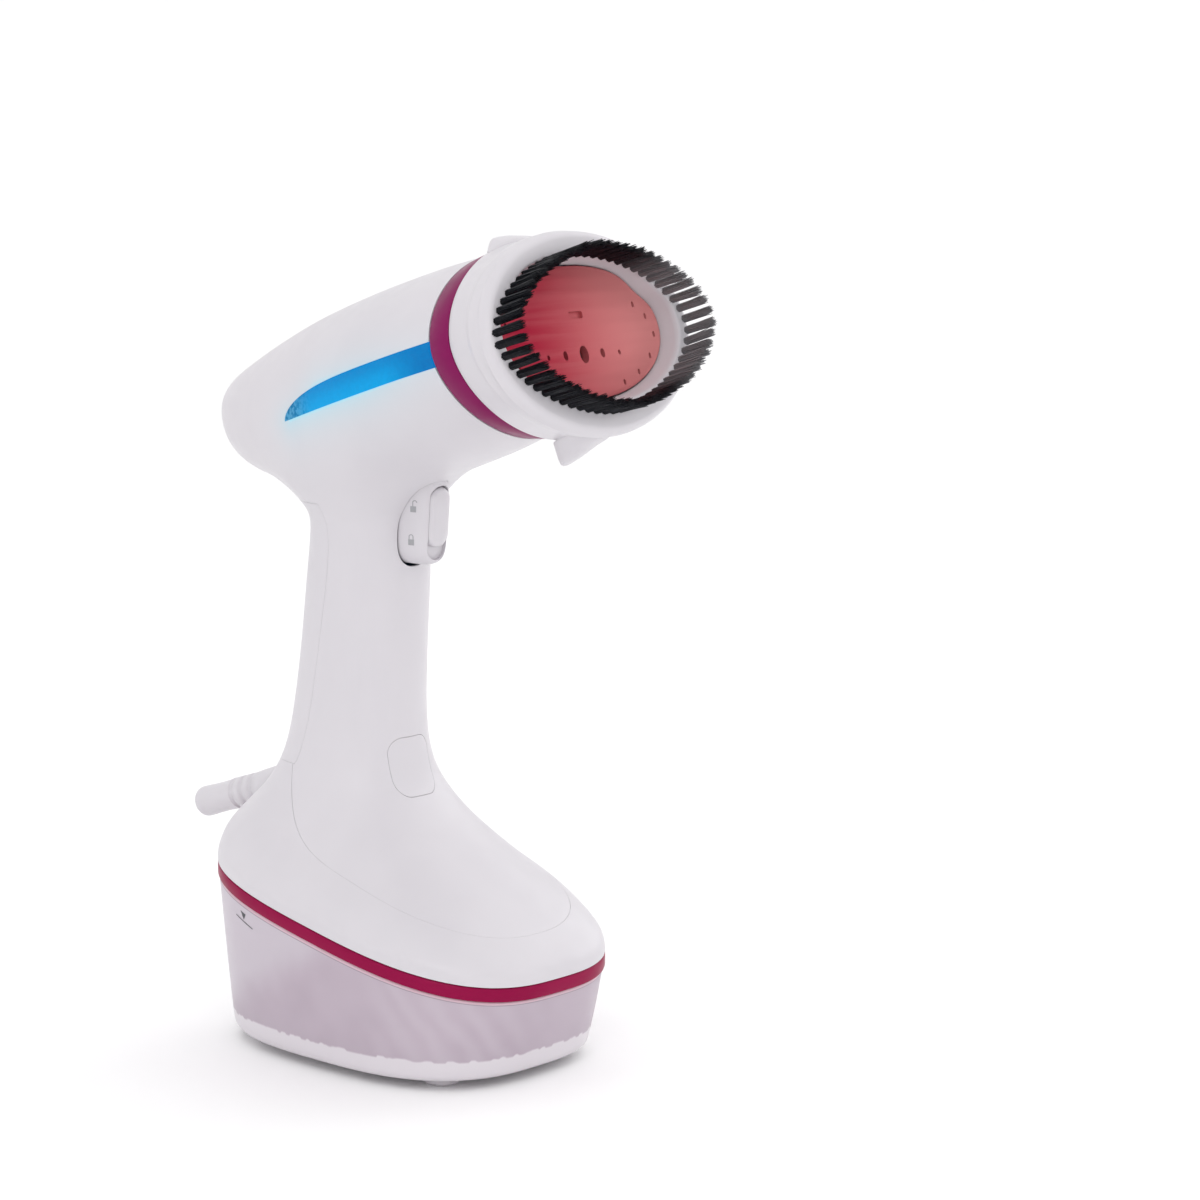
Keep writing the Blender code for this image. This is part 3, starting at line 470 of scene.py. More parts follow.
def wide_outline():
    """Outline that reaches past the whole object."""
    return superellipse(REACH, -REACH, REACH, 8.0)


def end_planes(obj):
    """Cut the shell at the tank's parting plane and at the head ring."""
    under = prism("under", wide_outline(), band_point, -60.0, 0.0)
    ahead = prism("ahead", wide_outline(), across_head, -80.0, HOUSING_FRONT)
    combine(obj, "DIFFERENCE", under, ahead)


def make_shell():
    """The hollow white shell before its seams are cut, and its outside as a solid."""
    outside = rough_shell()
    inside = copy_of(outside, "inside")
    settle_on_field(outside.data, -0.03)
    settle_on_field(inside.data, -WALL, rounds=12)
    end_planes(outside)
    shell = copy_of(outside, "shell")
    skin = copy_of(outside, "skin")
    combine(shell, "DIFFERENCE", copy_of(inside, "hollow"))
    return shell, skin, inside, outside


def seam_block(name, shift, low, high):
    """Everything behind the handle seam; shift moves the seam towards the rear."""
    outline = [(y + shift, z) for y, z in catmull_rom(COVER_SEAM, 8)]
    outline[0] = (outline[0][0], low)
    while outline[-1][1] > high - 1:
        outline.pop()
    outline.append((outline[-1][0] + 0.3, high))
    outline += [(REACH, high), (REACH, low)]
    return prism(name, outline, lambda y, z, x: Vector((x, y, z)), -REACH, REACH)


def tongue_block(name, grow):
    outline = superellipse(TONGUE_HALF_WIDTH + grow, TONGUE_CENTRE_Y - TONGUE_FRONT - grow,
                           TONGUE_CENTRE_Y + TONGUE_REAR + grow, TONGUE_EXPONENT, 160)
    return prism(name, outline, upright, -5.0, SKIRT_TOP + 60.0)


def zone_below(name, top):
    return prism(name, wide_outline(), upright, -20.0, top)


def window_outline(grow):
    """Blade shape in depth and height: straight below, curved down to a tip at the rear."""
    start = HOUSING_FRONT - 3.0
    length = WINDOW_TIP - start
    points = [(start, WINDOW_LOW - grow)]
    steps = 40
    for index in range(steps + 1):
        share = math.sin(math.pi / 2 * (1 - index / steps))
        rise = WINDOW_RISE * (1 - share ** 6) ** 0.6
        points.append((start + length * share + grow * share ** 4,
                       WINDOW_LOW + rise + grow * (1 - share ** 12)))
    return points


def window_block(name, side, grow, inner, outer):
    return prism(name, window_outline(grow), lambda depth, v, x: head_point(x * side, depth, v), inner, outer)


def trigger_face(height):
    """Front of the trigger pad at a height."""
    share = (height - TRIGGER_Z[0]) / (TRIGGER_Z[1] - TRIGGER_Z[0])
    return TRIGGER_FRONT[0] + (TRIGGER_FRONT[1] - TRIGGER_FRONT[0]) * share


def trigger_rings(grow, drop=0.0, rows=40):
    """Trigger pad: rounded sections that close at its two ends; drop adds room below it."""
    low, high = TRIGGER_Z[0] - grow - drop, TRIGGER_Z[1] + grow
    middle, half = (low + high) / 2, (high - low) / 2
    rings = []
    for row in range(rows + 1):
        share = math.sin(math.pi / 2 * (2 * row / rows - 1)) * 0.9995
        scale = (1 - abs(share) ** 4.5) ** 0.42
        front = trigger_face(middle + half * share) - grow
        front = TRIGGER_BACK + (front - TRIGGER_BACK) * (0.70 + 0.30 * (1 - abs(share) ** 12) ** 0.5)
        outline = superellipse((TRIGGER_HALF_WIDTH + grow) * scale, front, TRIGGER_BACK + grow, 2.6, 64)
        rings.append([Vector((x, y, middle + half * share)) for x, y in outline])
    return rings


def trigger_hole():
    """Room for the trigger pad, straight-sided behind its widest part so that it can swing in."""
    rings = trigger_rings(TRIGGER_GAP, TRIGGER_ROOM)
    right = [(max(point.x for point in ring), ring[0].z) for ring in rings]
    outline = right + [(-x, z) for x, z in reversed(right)]
    return loft("trigger_hole", rings), prism("trigger_room", outline, facing_front, -5.0, TRIGGER_BACK + 6.0)


def button_block(name, grow, back):
    outline = rounded_outline(BUTTON_HALF_WIDTH + grow, BUTTON_Z[0] - grow, BUTTON_Z[1] + grow, 5.5 + grow)
    return prism(name, outline, facing_front, -30.0, back)


def make_housing(white):
    shell, skin, inside, outside = make_shell()

    skirt = copy_of(shell, "skirt")
    combine(skirt, "INTERSECT", zone_below("skirt_keep", SKIRT_TOP))
    combine(skirt, "DIFFERENCE", tongue_block("tongue_clearance", 0.0))
    hole = turned_solid("guard_hole", GUARD_START - GUARD_AXIS, GUARD_AXIS,
                        ((0, 8.0), (3.6, 8.0), (3.61, 7.0), (30, 7.0)))
    combine(skirt, "DIFFERENCE", hole)
    finish_piece(skirt, "base_skirt_shell", white, "housing", ["base_skirt"])

    cover = copy_of(shell, "cover")
    combine(cover, "INTERSECT", seam_block("cover_keep", 0.0, SKIRT_TOP + SEAM, COVER_TOP))
    for height, _ in SCREWS.values():
        combine(cover, "DIFFERENCE", bore((0, 60, height), (0, -1, 0), 30, SCREW_HOLE_RADIUS))
    finish_piece(cover, "rear_cover_shell", white, "housing", ["rear_handle_cover"])

    front = copy_of(shell, "front")
    combine(front, "DIFFERENCE", seam_block("cover_pocket", -SEAM, SKIRT_TOP, COVER_TOP + SEAM))
    around_tongue = zone_below("around_tongue", SKIRT_TOP + SEAM)
    combine(around_tongue, "DIFFERENCE", tongue_block("tongue_outline", -SEAM))
    combine(front, "DIFFERENCE", around_tongue)
    for side in (-1, 1):
        combine(front, "DIFFERENCE", window_block("window_hole", side, SEAM, 24.0, 48.0))
    combine(front, "DIFFERENCE", *trigger_hole(), button_block("button_hole", SEAM * 2, 12.0))
    finish_piece(front, "front_shell", white, "housing", ["front_housing"])
    drop(shell)
    return skin, inside, outside


# ---- turned and rounded helpers

def turned_solid(name, start, axis, profile, count=64, closed=False):
    """Body of revolution: profile is a list of (distance along the axis, radius)."""
    axis = Vector(axis).normalized()
    side = axis.orthogonal().normalized()
    other = axis.cross(side)
    angles = [2 * math.pi * i / count for i in range(count)]
    return loft(name, [[Vector(start) + axis * along + side * radius * math.cos(angle)
                        + other * radius * math.sin(angle) for angle in angles]
                       for along, radius in profile], closed)


def bore(start, axis, length, radius):
    """Round cutter."""
    return turned_solid("bore", start, axis, ((0, radius), (length, radius)))


# ---- material helpers

class Paint:
    """Short-hand for building one material's node tree."""

    def __init__(self, name, **sockets):
        self.material = bpy.data.materials.new(name)
        self.material.use_nodes = True
        self.tree = self.material.node_tree
        self.shader = self.tree.nodes["Principled BSDF"]
        for socket, value in sockets.items():
            self.shader.inputs[socket.replace("_", " ")].default_value = value
        self.coordinates = self.tree.nodes.new("ShaderNodeTexCoord").outputs["Object"]

    def link(self, source, target):
        self.tree.links.new(source, target)

    def feed(self, socket, value):
        if isinstance(value, bpy.types.NodeSocket):
            self.link(value, socket)
        else:
            socket.default_value = value

    def math(self, operation, *values):
        node = self.tree.nodes.new("ShaderNodeMath")
        node.operation = operation
        for socket, value in zip(node.inputs, values):
            self.feed(socket, value)
        return node.outputs[0]

    def dot(self, vector):
        """Object coordinates along a direction, in millimetres."""
        node = self.tree.nodes.new("ShaderNodeVectorMath")
        node.operation = "DOT_PRODUCT"
        self.link(self.coordinates, node.inputs[0])
        node.inputs[1].default_value = Vector(vector) / MM
        return node.outputs["Value"]

    def head_places(self):
        """Depth behind the bristle plane and height over the head's axis."""
        return [self.math("SUBTRACT", self.dot(axis), HEAD_FRONT.dot(axis)) for axis in (HEAD_BACK, HEAD_UP)]

    def noise(self, size, detail=3.0, stretch=(1, 1, 1)):
        """Noise whose features are about `size` millimetres across."""
        mapping = self.tree.nodes.new("ShaderNodeMapping")
        mapping.inputs["Scale"].default_value = stretch
        self.link(self.coordinates, mapping.inputs["Vector"])
        node = self.tree.nodes.new("ShaderNodeTexNoise")
        node.inputs["Scale"].default_value = 1 / (size * MM)
        node.inputs["Detail"].default_value = detail
        self.link(mapping.outputs["Vector"], node.inputs["Vector"])
        return node.outputs["Fac"]

    def spread(self, value, low, high, out_low=0.0, out_high=1.0):
        node = self.tree.nodes.new("ShaderNodeMapRange")
        node.interpolation_type = "SMOOTHSTEP"
        self.feed(node.inputs["Value"], value)
        limits = {"From Min": low, "From Max": high, "To Min": out_low, "To Max": out_high}
        for socket, number in limits.items():
            node.inputs[socket].default_value = number
        return node.outputs["Result"]

    def shade(self, noise, low=0.0, high=1.0):
        """The middle of a noise's range, spread between two values."""
        return self.spread(noise, 0.3, 0.7, low, high)

    def mix(self, share, first, second):
        node = self.tree.nodes.new("ShaderNodeMix")
        node.data_type = "RGBA"
        self.feed(node.inputs[0], share)
        self.feed(node.inputs[6], (*first, 1.0) if isinstance(first, tuple) else first)
        self.feed(node.inputs[7], (*second, 1.0) if isinstance(second, tuple) else second)
        return node.outputs[2]

    def bump(self, height, distance, strength=1.0, under=None):
        node = self.tree.nodes.new("ShaderNodeBump")
        node.inputs["Distance"].default_value = distance * MM
        node.inputs["Strength"].default_value = strength
        self.link(height, node.inputs["Height"])
        if under:
            self.link(under, node.inputs["Normal"])
        return node.outputs["Normal"]

    def to(self, socket, value):
        self.feed(self.shader.inputs[socket], value)


def moulded_plastic(name, colour, tint, roughness, grain=0.35, depth=0.008):
    """Injection-moulded plastic: a fine texture, faint flow marks and uneven gloss."""
    paint = Paint(name, IOR=1.48)
    flow = paint.noise(28, 2, (1, 1, 0.35))
    paint.to("Base Color", paint.mix(paint.shade(flow), colour, tint))
    gloss = paint.noise(6, 4)
    paint.to("Roughness", paint.shade(gloss, roughness - 0.04, roughness + 0.05))
    paint.to("Normal", paint.bump(paint.noise(grain, 2), depth, 0.5))
    return paint


def plain_plastic(name, colour, tint, roughness):
    return moulded_plastic(name, colour, tint, roughness).material


def shell_plastic():
    """White housing plastic, lit from inside round the light windows."""
    paint = moulded_plastic("white_shell", *SHELL_WHITE, 0.36)
    depth, across = paint.head_places()
    top = paint.spread(depth, 88.0, WINDOW_TIP, WINDOW_LOW + WINDOW_RISE, WINDOW_LOW)
    above = paint.math("MAXIMUM", paint.math("SUBTRACT", across, top), 0.0)
    below = paint.math("MAXIMUM", paint.math("SUBTRACT", WINDOW_LOW, across), 0.0)
    beyond = paint.math("MAXIMUM", paint.math("SUBTRACT", depth, WINDOW_TIP - 3), 0.0)
    squares = [paint.math("POWER", length, 2.0) for length in (paint.math("ADD", above, below), beyond)]
    distance = paint.math("SQRT", paint.math("ADD", *squares))
    near = paint.math("EXPONENT", paint.math("MULTIPLY", distance, -0.75))
    wide = paint.math("EXPONENT", paint.math("MULTIPLY", distance, -0.20))
    side = paint.spread(across, WINDOW_LOW, WINDOW_LOW + WINDOW_RISE, 1.0, 0.55)
    reach = paint.math("MULTIPLY", paint.spread(depth, HOUSING_FRONT, 75.0, 0.30, 1.0), side)
    glow = paint.math("MULTIPLY", paint.math("MAXIMUM", near, paint.math("MULTIPLY", wide, 0.55)), reach)
    plain = paint.shader.inputs["Base Color"].links[0].from_socket
    paint.to("Base Color", paint.mix(glow, plain, (0.32, 0.62, 0.71)))
    paint.to("Emission Color", paint.mix(near, (0.02, 0.55, 0.75), (0.0, 0.60, 0.95)))
    paint.to("Emission Strength", paint.math("MULTIPLY", glow, 0.16))
    return paint.material


def lens_plastic():
    """Light guide, brightest in its middle and paler with a stippled back near the tip."""
    paint = Paint("blue_light_guide", Roughness=0.12, IOR=1.5, Specular_IOR_Level=0.1)
    depth, across = paint.head_places()
    tip = paint.spread(depth, 93.0, 107.0)
    stipple = paint.spread(paint.noise(1.4, 3), 0.38, 0.62)
    low = paint.mix(paint.spread(depth, 36.0, 58.0), (0.0, 0.17, 0.50), (0.0, 0.36, 0.79))
    body = paint.mix(paint.spread(across, -1.0, 7.0, 0.0, 0.75), low, (0.0, 0.20, 0.55))
    worn = paint.mix(stipple, (0.005, 0.16, 0.36), (0.10, 0.38, 0.62))
    paint.to("Base Color", paint.mix(stipple, (0.0, 0.015, 0.035), (0.0, 0.03, 0.06)))
    paint.to("Emission Color", paint.mix(paint.math("MULTIPLY", tip, 0.85), body, worn))
    paint.to("Emission Strength", paint.spread(depth, 88.0, 108.0, 0.92, 0.80))
    return paint.material


def glossy_magenta(name, colour, tint, roughness):
    paint = moulded_plastic(name, colour, tint, roughness, 1.5, 0.003)
    paint.shader.inputs["Specular IOR Level"].default_value = 0.1
    return paint.material


def plate_coating():
    """Satin coloured coating on the steam plate, brushed crosswise, with a painted reflection that turns it
    paler towards +X.
    """
    paint = Paint("plate_coating", Metallic=0.25, IOR=1.45, Specular_IOR_Level=0.1)
    grain = paint.noise(2.4, 3, (0.05, 1.0, 1.0))
    # painted reflection: the colour runs from deep red at -X to pale pink at +X, whatever the light
    side = paint.spread(paint.dot((1, 0, 0)), -30.0, 44.0)
    colour = paint.mix(side, (0.36, 0.003, 0.03), (0.74, 0.27, 0.265))
    paint.to("Base Color", paint.mix(paint.spread(grain, 0.35, 0.65, 0.0, 0.16), colour, (0.60, 0.19, 0.20)))
    paint.to("Roughness", paint.shade(grain, 0.34, 0.44))
    paint.to("Normal", paint.bump(grain, 0.02, 0.3))
    return paint.material


def bristle_nylon():
    paint = Paint("bristle_nylon", IOR=1.4, Specular_IOR_Level=0.3)
    tone = paint.spread(paint.noise(0.7, 2), 0.35, 0.65)
    # painted sheen: tufts towards +X are painted grey, as if lit
    lit = paint.spread(paint.dot((1, 0, 0)), 16.0, 36.0)
    dark = paint.mix(tone, (0.004, 0.005, 0.008), (0.012, 0.013, 0.017))
    paint.to("Base Color", paint.mix(lit, dark, (0.210, 0.210, 0.220)))
    paint.to("Roughness", paint.shade(paint.noise(2.0), 0.32, 0.5))
    return paint.material


def tank_plastic():
    """Smoky translucent wall with a frosted foot, a painted highlight on its upper rear corner, slanting
    streaks of painted light and shade at the front left, and a painted highlight along the rim.
    """
    paint = Paint("tank_plastic", Roughness=0.34, IOR=1.45)
    along, height = paint.dot((0, 1, 0)), paint.dot((0, 0, 1))
    haze = paint.spread(paint.noise(26, 2), 0.35, 0.65)
    wall = paint.mix(haze, (0.535, 0.450, 0.525), (0.575, 0.490, 0.565))

    # painted highlight: the upper rear corner of the wall is painted paler
    painted_highlight_level = paint.math("ADD", paint.math("MULTIPLY", along, 0.55), height)
    painted_highlight_level = paint.math("ADD", painted_highlight_level, paint.math("MULTIPLY", paint.noise(14, 1), 12.0))
    wall = paint.mix(paint.spread(painted_highlight_level, 40.0, 58.0), wall, (0.650, 0.590, 0.655))

    # painted light and shade: paler slanting streaks over the front-left part of the wall
    slant = paint.math("ADD", paint.dot((0.46, -0.46, 0.38)), paint.math("MULTIPLY", paint.noise(22, 2), 9.0))
    waves = paint.math("MULTIPLY", paint.math("ADD", paint.math("SINE", slant), 1.0), 0.5)
    zone = paint.math("MULTIPLY", paint.spread(along, -40.0, -14.0, 1.0, 0.0),
                      paint.spread(paint.dot((1, 0, 0)), -28.0, 4.0, 1.0, 0.0))
    painted_streaks = paint.math("MULTIPLY", zone, waves)
    wall = paint.mix(paint.math("MULTIPLY", painted_streaks, 0.40), wall, (0.655, 0.585, 0.650))

    ripple = paint.math("MULTIPLY", paint.spread(paint.noise(3.2, 0, (1, 1, 0.1)), 0.40, 0.62), 0.7)
    foot = paint.spread(paint.math("ADD", height, ripple), 10.6, 11.6, 1.0, 0.0)
    # painted highlight: a pale pink stripe along the top of the rim, with a thin dark stripe painted just
    # under it
    rim_height = paint.dot((0, -BAND_SLOPE, 1))
    line = paint.spread(rim_height, TANK_RIM - 1.5, TANK_RIM - 1.2)
    rim = paint.spread(rim_height, TANK_RIM - 1.15, TANK_RIM - 0.95)
    colour = paint.mix(foot, wall, (0.72, 0.68, 0.72))
    colour = paint.mix(line, colour, (0.36, 0.30, 0.35))
    paint.to("Base Color", paint.mix(rim, colour, (0.78, 0.55, 0.63)))
    paint.to("Alpha", paint.spread(foot, 0.0, 1.0, 0.80, 0.94))
    paint.to("Normal", paint.bump(paint.noise(0.5, 2), 0.008, 0.4))
    return paint.material


def metal(name, colour, roughness, stretch=(1, 1, 1)):
    paint = Paint(name, Metallic=1.0)
    grain = paint.noise(0.8, 3, stretch)
    darker = tuple(channel * 0.82 for channel in colour)
    paint.to("Base Color", paint.mix(paint.shade(grain), darker, colour))
    paint.to("Roughness", paint.shade(grain, roughness - 0.06, roughness + 0.08))
    paint.to("Normal", paint.bump(grain, 0.01, 0.4))
    return paint.material


def cast_metal():
    paint = Paint("cast_aluminium", Metallic=0.9)
    grain = paint.noise(0.9, 5)
    paint.to("Base Color", paint.mix(paint.shade(grain), (0.40, 0.41, 0.42), (0.55, 0.56, 0.57)))
    paint.to("Roughness", paint.shade(grain, 0.45, 0.62))
    paint.to("Normal", paint.bump(grain, 0.08, 0.6))
    return paint.material


def soft_silicone():
    paint = Paint("silicone", IOR=1.42, Roughness=0.55)
    cloud = paint.shade(paint.noise(4, 3))
    paint.to("Base Color", paint.mix(cloud, (0.66, 0.65, 0.62), (0.72, 0.71, 0.69)))
    paint.to("Normal", paint.bump(paint.noise(0.6, 2), 0.01, 0.5))
    return paint.material


def board():
    """Circuit board: green mask with paler tracks."""
    paint = Paint("circuit_board", Roughness=0.35)
    tracks = paint.spread(paint.noise(1.4, 0, (1.0, 0.2, 1.0)), 0.5, 0.54)
    paint.to("Base Color", paint.mix(tracks, (0.01, 0.13, 0.05), (0.03, 0.24, 0.09)))
    paint.to("Normal", paint.bump(tracks, 0.03, 0.6))
    return paint.material


def make_materials():
    return {
        "white": plain_plastic("white_plastic", *SHELL_WHITE, 0.36),
        "shell": shell_plastic(),
        "lens": lens_plastic(),
        "ring": glossy_magenta("magenta_ring", (0.192, 0.003, 0.076), (0.212, 0.006, 0.086), 0.34),
        "band": glossy_magenta("magenta_band", (0.255, 0.002, 0.048), (0.275, 0.004, 0.054), 0.32),
        "plate": plate_coating(),
        "bristle": bristle_nylon(),
        "tank": tank_plastic(),
        "print": plain_plastic("grey_print", (0.30, 0.30, 0.32), (0.36, 0.36, 0.38), 0.5),
        "ink": plain_plastic("dark_ink", (0.06, 0.06, 0.07), (0.09, 0.09, 0.10), 0.5),
        "cast_aluminium": cast_metal(),
        "steel": metal("steel", (0.62, 0.62, 0.63), 0.3, (1, 1, 6)),
        "spring_steel": metal("spring_steel", (0.5, 0.5, 0.52), 0.25),
        "brass": metal("brass", (0.75, 0.55, 0.25), 0.3),
        "silicone": soft_silicone(),
        "black_plastic": plain_plastic("black_plastic", (0.018, 0.018, 0.02), (0.026, 0.026, 0.028), 0.45),
        "grey_plastic": plain_plastic("grey_plastic", (0.30, 0.30, 0.31), (0.35, 0.35, 0.36), 0.45),
        "circuit_board": board(),
    }


# ---- head pieces

def make_windows(skin, inside, material):
    for side, label in ((-1, "left"), (1, "right")):
        lens = window_block("lens", side, 0.0, 26.0, 48.0)
        combine(lens, "INTERSECT", copy_of(skin, "skin_copy"))
        combine(lens, "DIFFERENCE", copy_of(inside, "inside_copy"))
        finish_piece(lens, "light_guide_" + label, material, "housing", ["light_window_" + label])


def make_ring(material):
    front, rear = RING_DEPTHS
    profile = [(front, RING_WALL), (front, 0.35), (front + 0.1, 0.12), (front + 0.35, 0.0),
               (rear - 0.35, 0.0), (rear - 0.1, 0.12), (rear, 0.35), (rear, RING_WALL)]
    outlines = []
    for depth, inset in profile:
        share = (depth - front) / (rear - front)
        half_width, top, bottom, exponent = [a + (b - a) * share for a, b in zip(RING_FRONT, RING_REAR)]
        outlines.append((depth, superellipse(half_width - inset, bottom + inset, top - inset, exponent, 200)))
    finish_piece(loft("ring", head_rings(outlines), closed=True), "head_band", material, "housing",
                 ["head_ring"])


def plate_outline(grow, count=160):
    """Steam plate outline: a wide oval that narrows into a dome above two soft shoulders."""
    points = []
    for index in range(count):
        angle = 2 * math.pi * index / count
        upper = angle < math.pi
        half_height = PLATE_TOP if upper else PLATE_BOTTOM
        exponent = PLATE_EXPONENTS[0] if upper else PLATE_EXPONENTS[1]
        x = (PLATE_HALF_WIDTH + grow) * signed_power(math.cos(angle), 2 / exponent)
        v = (half_height + grow) * signed_power(math.sin(angle), 2 / exponent)
        lean = math.atan2(abs(v) * 1.9, abs(x))
        notch = 0.06 * math.exp(-((lean - math.radians(37)) / math.radians(14)) ** 2) if v > 0 else 0.0
        points.append((x * (1 - notch), v * (1 - notch)))
    return points


def steam_holes():
    """Centre, half width, half height and roundness of each steam opening."""
    holes = [((0.0, 6.4), 3.4, 1.2, 6.0), ((0.0, -6.6), 2.1, 2.9, 2.0)]
    for side in (-1, 1):
        holes += [((side * 9.2, -6.6), 1.05, 1.6, 2.0), ((side * 17.6, -6.8), 0.65, 0.9, 2.0)]
        for x, v in ((29.5, 8.6), (34.6, 4.4), (37.0, -1.8), (32.6, -8.8), (25.2, -13.8), (17.0, -16.8)):
            holes.append(((side * x, v), 0.6, 1.0, 2.4))
    return holes


def make_plate(material):
    outline = plate_outline(0.0)
    rows = [(1.0, 3.0), (1.0, 0.7), (0.995, 0.35), (0.985, 0.12)]
    rows += [(share / 30, 0.0) for share in range(29, 0, -1)]
    rings = []
    for share, edge in rows:
        ring = []
        for x, v in outline:
            ribs = 0.05 * math.cos(2 * math.pi * v * share / 5.4) * min(1.0, (1 - share) * 12)
            ring.append(head_point(x * share, PLATE_DEPTH + 0.1 + edge + ribs, v * share))
        rings.append(ring)
    plate = loft("plate", rings)
    for index, ((x, v), half_width, half_height, exponent) in enumerate(steam_holes()):
        back = PLATE_DEPTH + (SLOT_POCKET if index == 0 else 5.0)
        hole = [(x + px, v + pv)
                for px, pv in superellipse(half_width, -half_height, half_height, exponent, 28)]
        combine(plate, "DIFFERENCE", prism("hole", hole, across_head, PLATE_DEPTH - 2, back))
    finish_piece(plate, "soleplate", material, "housing", ["steam_plate"])


def frame_outline(depth, inset, count=160):
    """Section of the brush frame, which flares from the head ring to its front rim."""
    share = min(max((FRAME_REAR - depth) / FRAME_REAR, 0.0), 1.0)
    shares = (math.sin(share * math.pi / 2), share, share, share)
    half_width, low, high, exponent = [
        rear + (front - rear) * part for rear, front, part in zip(FRAME_REAR_OVAL, FRAME_FRONT_OVAL, shares)]
    return superellipse(half_width - inset, low + inset, high - inset, exponent, count)


def make_brush_frame(material):
    outer = [(FRAME_REAR, frame_outline(FRAME_REAR, 0.85)), (FRAME_REAR, frame_outline(FRAME_REAR, 0.25)),
             (FRAME_REAR - 0.25, frame_outline(FRAME_REAR, 0.0))]
    waist = ((21.0, 0.1), (18.0, 0.35), (15.0, 0.6), (13.0, 0.7), (11.5, 0.7), (10.8, 0.55), (10.2, 0.2),
             (9.6, 0.0), (8.0, 0.0), (6.5, 0.0), (RIM_ROUNDING[0], 0.0))
    outer += [(depth, frame_outline(depth, inset)) for depth, inset in waist]
    for step in range(1, 13):
        angle = math.pi / 2 * step / 12
        outer.append((RIM_ROUNDING[0] * (1 - math.sin(angle)),
                      frame_outline(0.0, RIM_ROUNDING[1] * (1 - math.cos(angle)))))
    recess = [(0.0, plate_outline(3.4)), (0.15, plate_outline(2.9)), (0.7, plate_outline(2.3)),
              (2.2, plate_outline(1.9)), (4.6, plate_outline(1.2)), (6.3, plate_outline(0.5)),
              (7.0, plate_outline(0.4))]
    inner = [(7.0, plate_outline(1.6)), (6.0, frame_outline(6.0, 7.0)), (7.0, frame_outline(7.0, 3.2)),
             (10.0, frame_outline(10.0, 1.2)), (18.0, frame_outline(18.0, FRAME_WALL)),
             (FRAME_REAR, frame_outline(FRAME_REAR, FRAME_WALL))]
    frame_solid = loft("frame", head_rings(outer + recess + inner), closed=True)
    combine(frame_solid, "UNION", brush_tab(), brush_lug())
    finish_piece(frame_solid, "brush_surround", material, "brush", ["brush_frame"], 40)


def crown_drop(x):
    """How far the top of the head ring falls away at a distance from its middle."""
    half_width, top, bottom, exponent = RING_FRONT
    return (top - bottom) / 2 * (1 - (1 - (abs(x) / half_width) ** exponent) ** (1 / exponent))


def brush_tab():
    """Soft finger tab on top that reaches back over the head ring."""
    depth_0, v_0 = TAB_ROOT
    outline = [row[:2] for row in catmull_rom(TAB_OUTLINE + TAB_OUTLINE[:1], 4)[:-1]]
    rings = [[head_point(x, depth_0 + (depth - depth_0) * reach, v_0 + (v - v_0) * rise - crown_drop(x))
              for depth, v in outline] for x, reach, rise in catmull_rom(TAB_SECTIONS, 4)]
    return loft("tab", rings)


def brush_lug():
    """Pointed lug under the frame for pulling the brush off."""
    rings = [[head_point(x, depth, v) for x, depth in superellipse(half_width, front, rear, 2.4, 40)]
             for v, front, rear, half_width in catmull_rom(LUG_SECTIONS, 4)]
    return loft("lug", rings)


def root_places():
    """Evenly spaced places along the oval that the tufts stand on."""
    outline = superellipse(*ROOTS, 720)
    points = np.array(outline + outline[:1])
    lengths = np.concatenate(([0], np.cumsum(np.linalg.norm(np.diff(points, axis=0), axis=1))))
    stops = (np.arange(TUFTS) + 0.5) / TUFTS * lengths[-1]
    return list(zip(np.interp(stops, lengths, points[:, 0]), np.interp(stops, lengths, points[:, 1])))


def make_bristles(material):
    """Tufts of separate nylon filaments with slightly ragged, splayed tips."""
    draw = random.Random(7)
    points, faces = [], []
    sides, rows = 4, (0.5, -0.45, -0.8, -1.0)
    for root_x, root_v in root_places():
        lean_x, lean_v = draw.gauss(0, 0.35), draw.gauss(0, 0.35)
        for index in range(FILAMENTS):
            radius = TUFT_RADIUS * math.sqrt((index + 0.5) / FILAMENTS)
            angle = index * 2.39996
            x, v = root_x + radius * math.cos(angle), root_v + radius * math.sin(angle)
            tip = BRISTLE_LENGTH - abs(draw.gauss(0, 0.9))
            splay_x = (x - root_x) * 0.16 + lean_x * 0.5 + draw.uniform(-0.25, 0.25)
            splay_v = (v - root_v) * 0.16 + lean_v * 0.5 + draw.uniform(-0.25, 0.25)
            for share in rows:
                depth = share * tip if share < 0 else share
                bend = share * share if share < 0 else 0.0
                thick = 0.15 if share > -1 else 0.07
                first = len(points)
                for side in range(sides):
                    turn = 2 * math.pi * side / sides
                    points.append(head_point(x + splay_x * bend + thick * math.cos(turn), depth,
                                             v + splay_v * bend + thick * math.sin(turn)))
                if share != rows[0]:
                    faces += strip_faces(first - sides, first, sides)
            faces.append(tuple(range(first, first + sides)))
            base = first - sides * (len(rows) - 1)
            faces.append(tuple(reversed(range(base, base + sides))))
    obj = add_object("bristles", mesh_of("bristles", points, faces))
    finish_piece(obj, "bristle_tufts", material, "brush", ["brush_bristles"], 60)


# ---- controls

def in_slot(x, z, depth):
    """A point at a depth behind the trigger's slanting face."""
    return Vector((x, trigger_face(z) + depth, z))


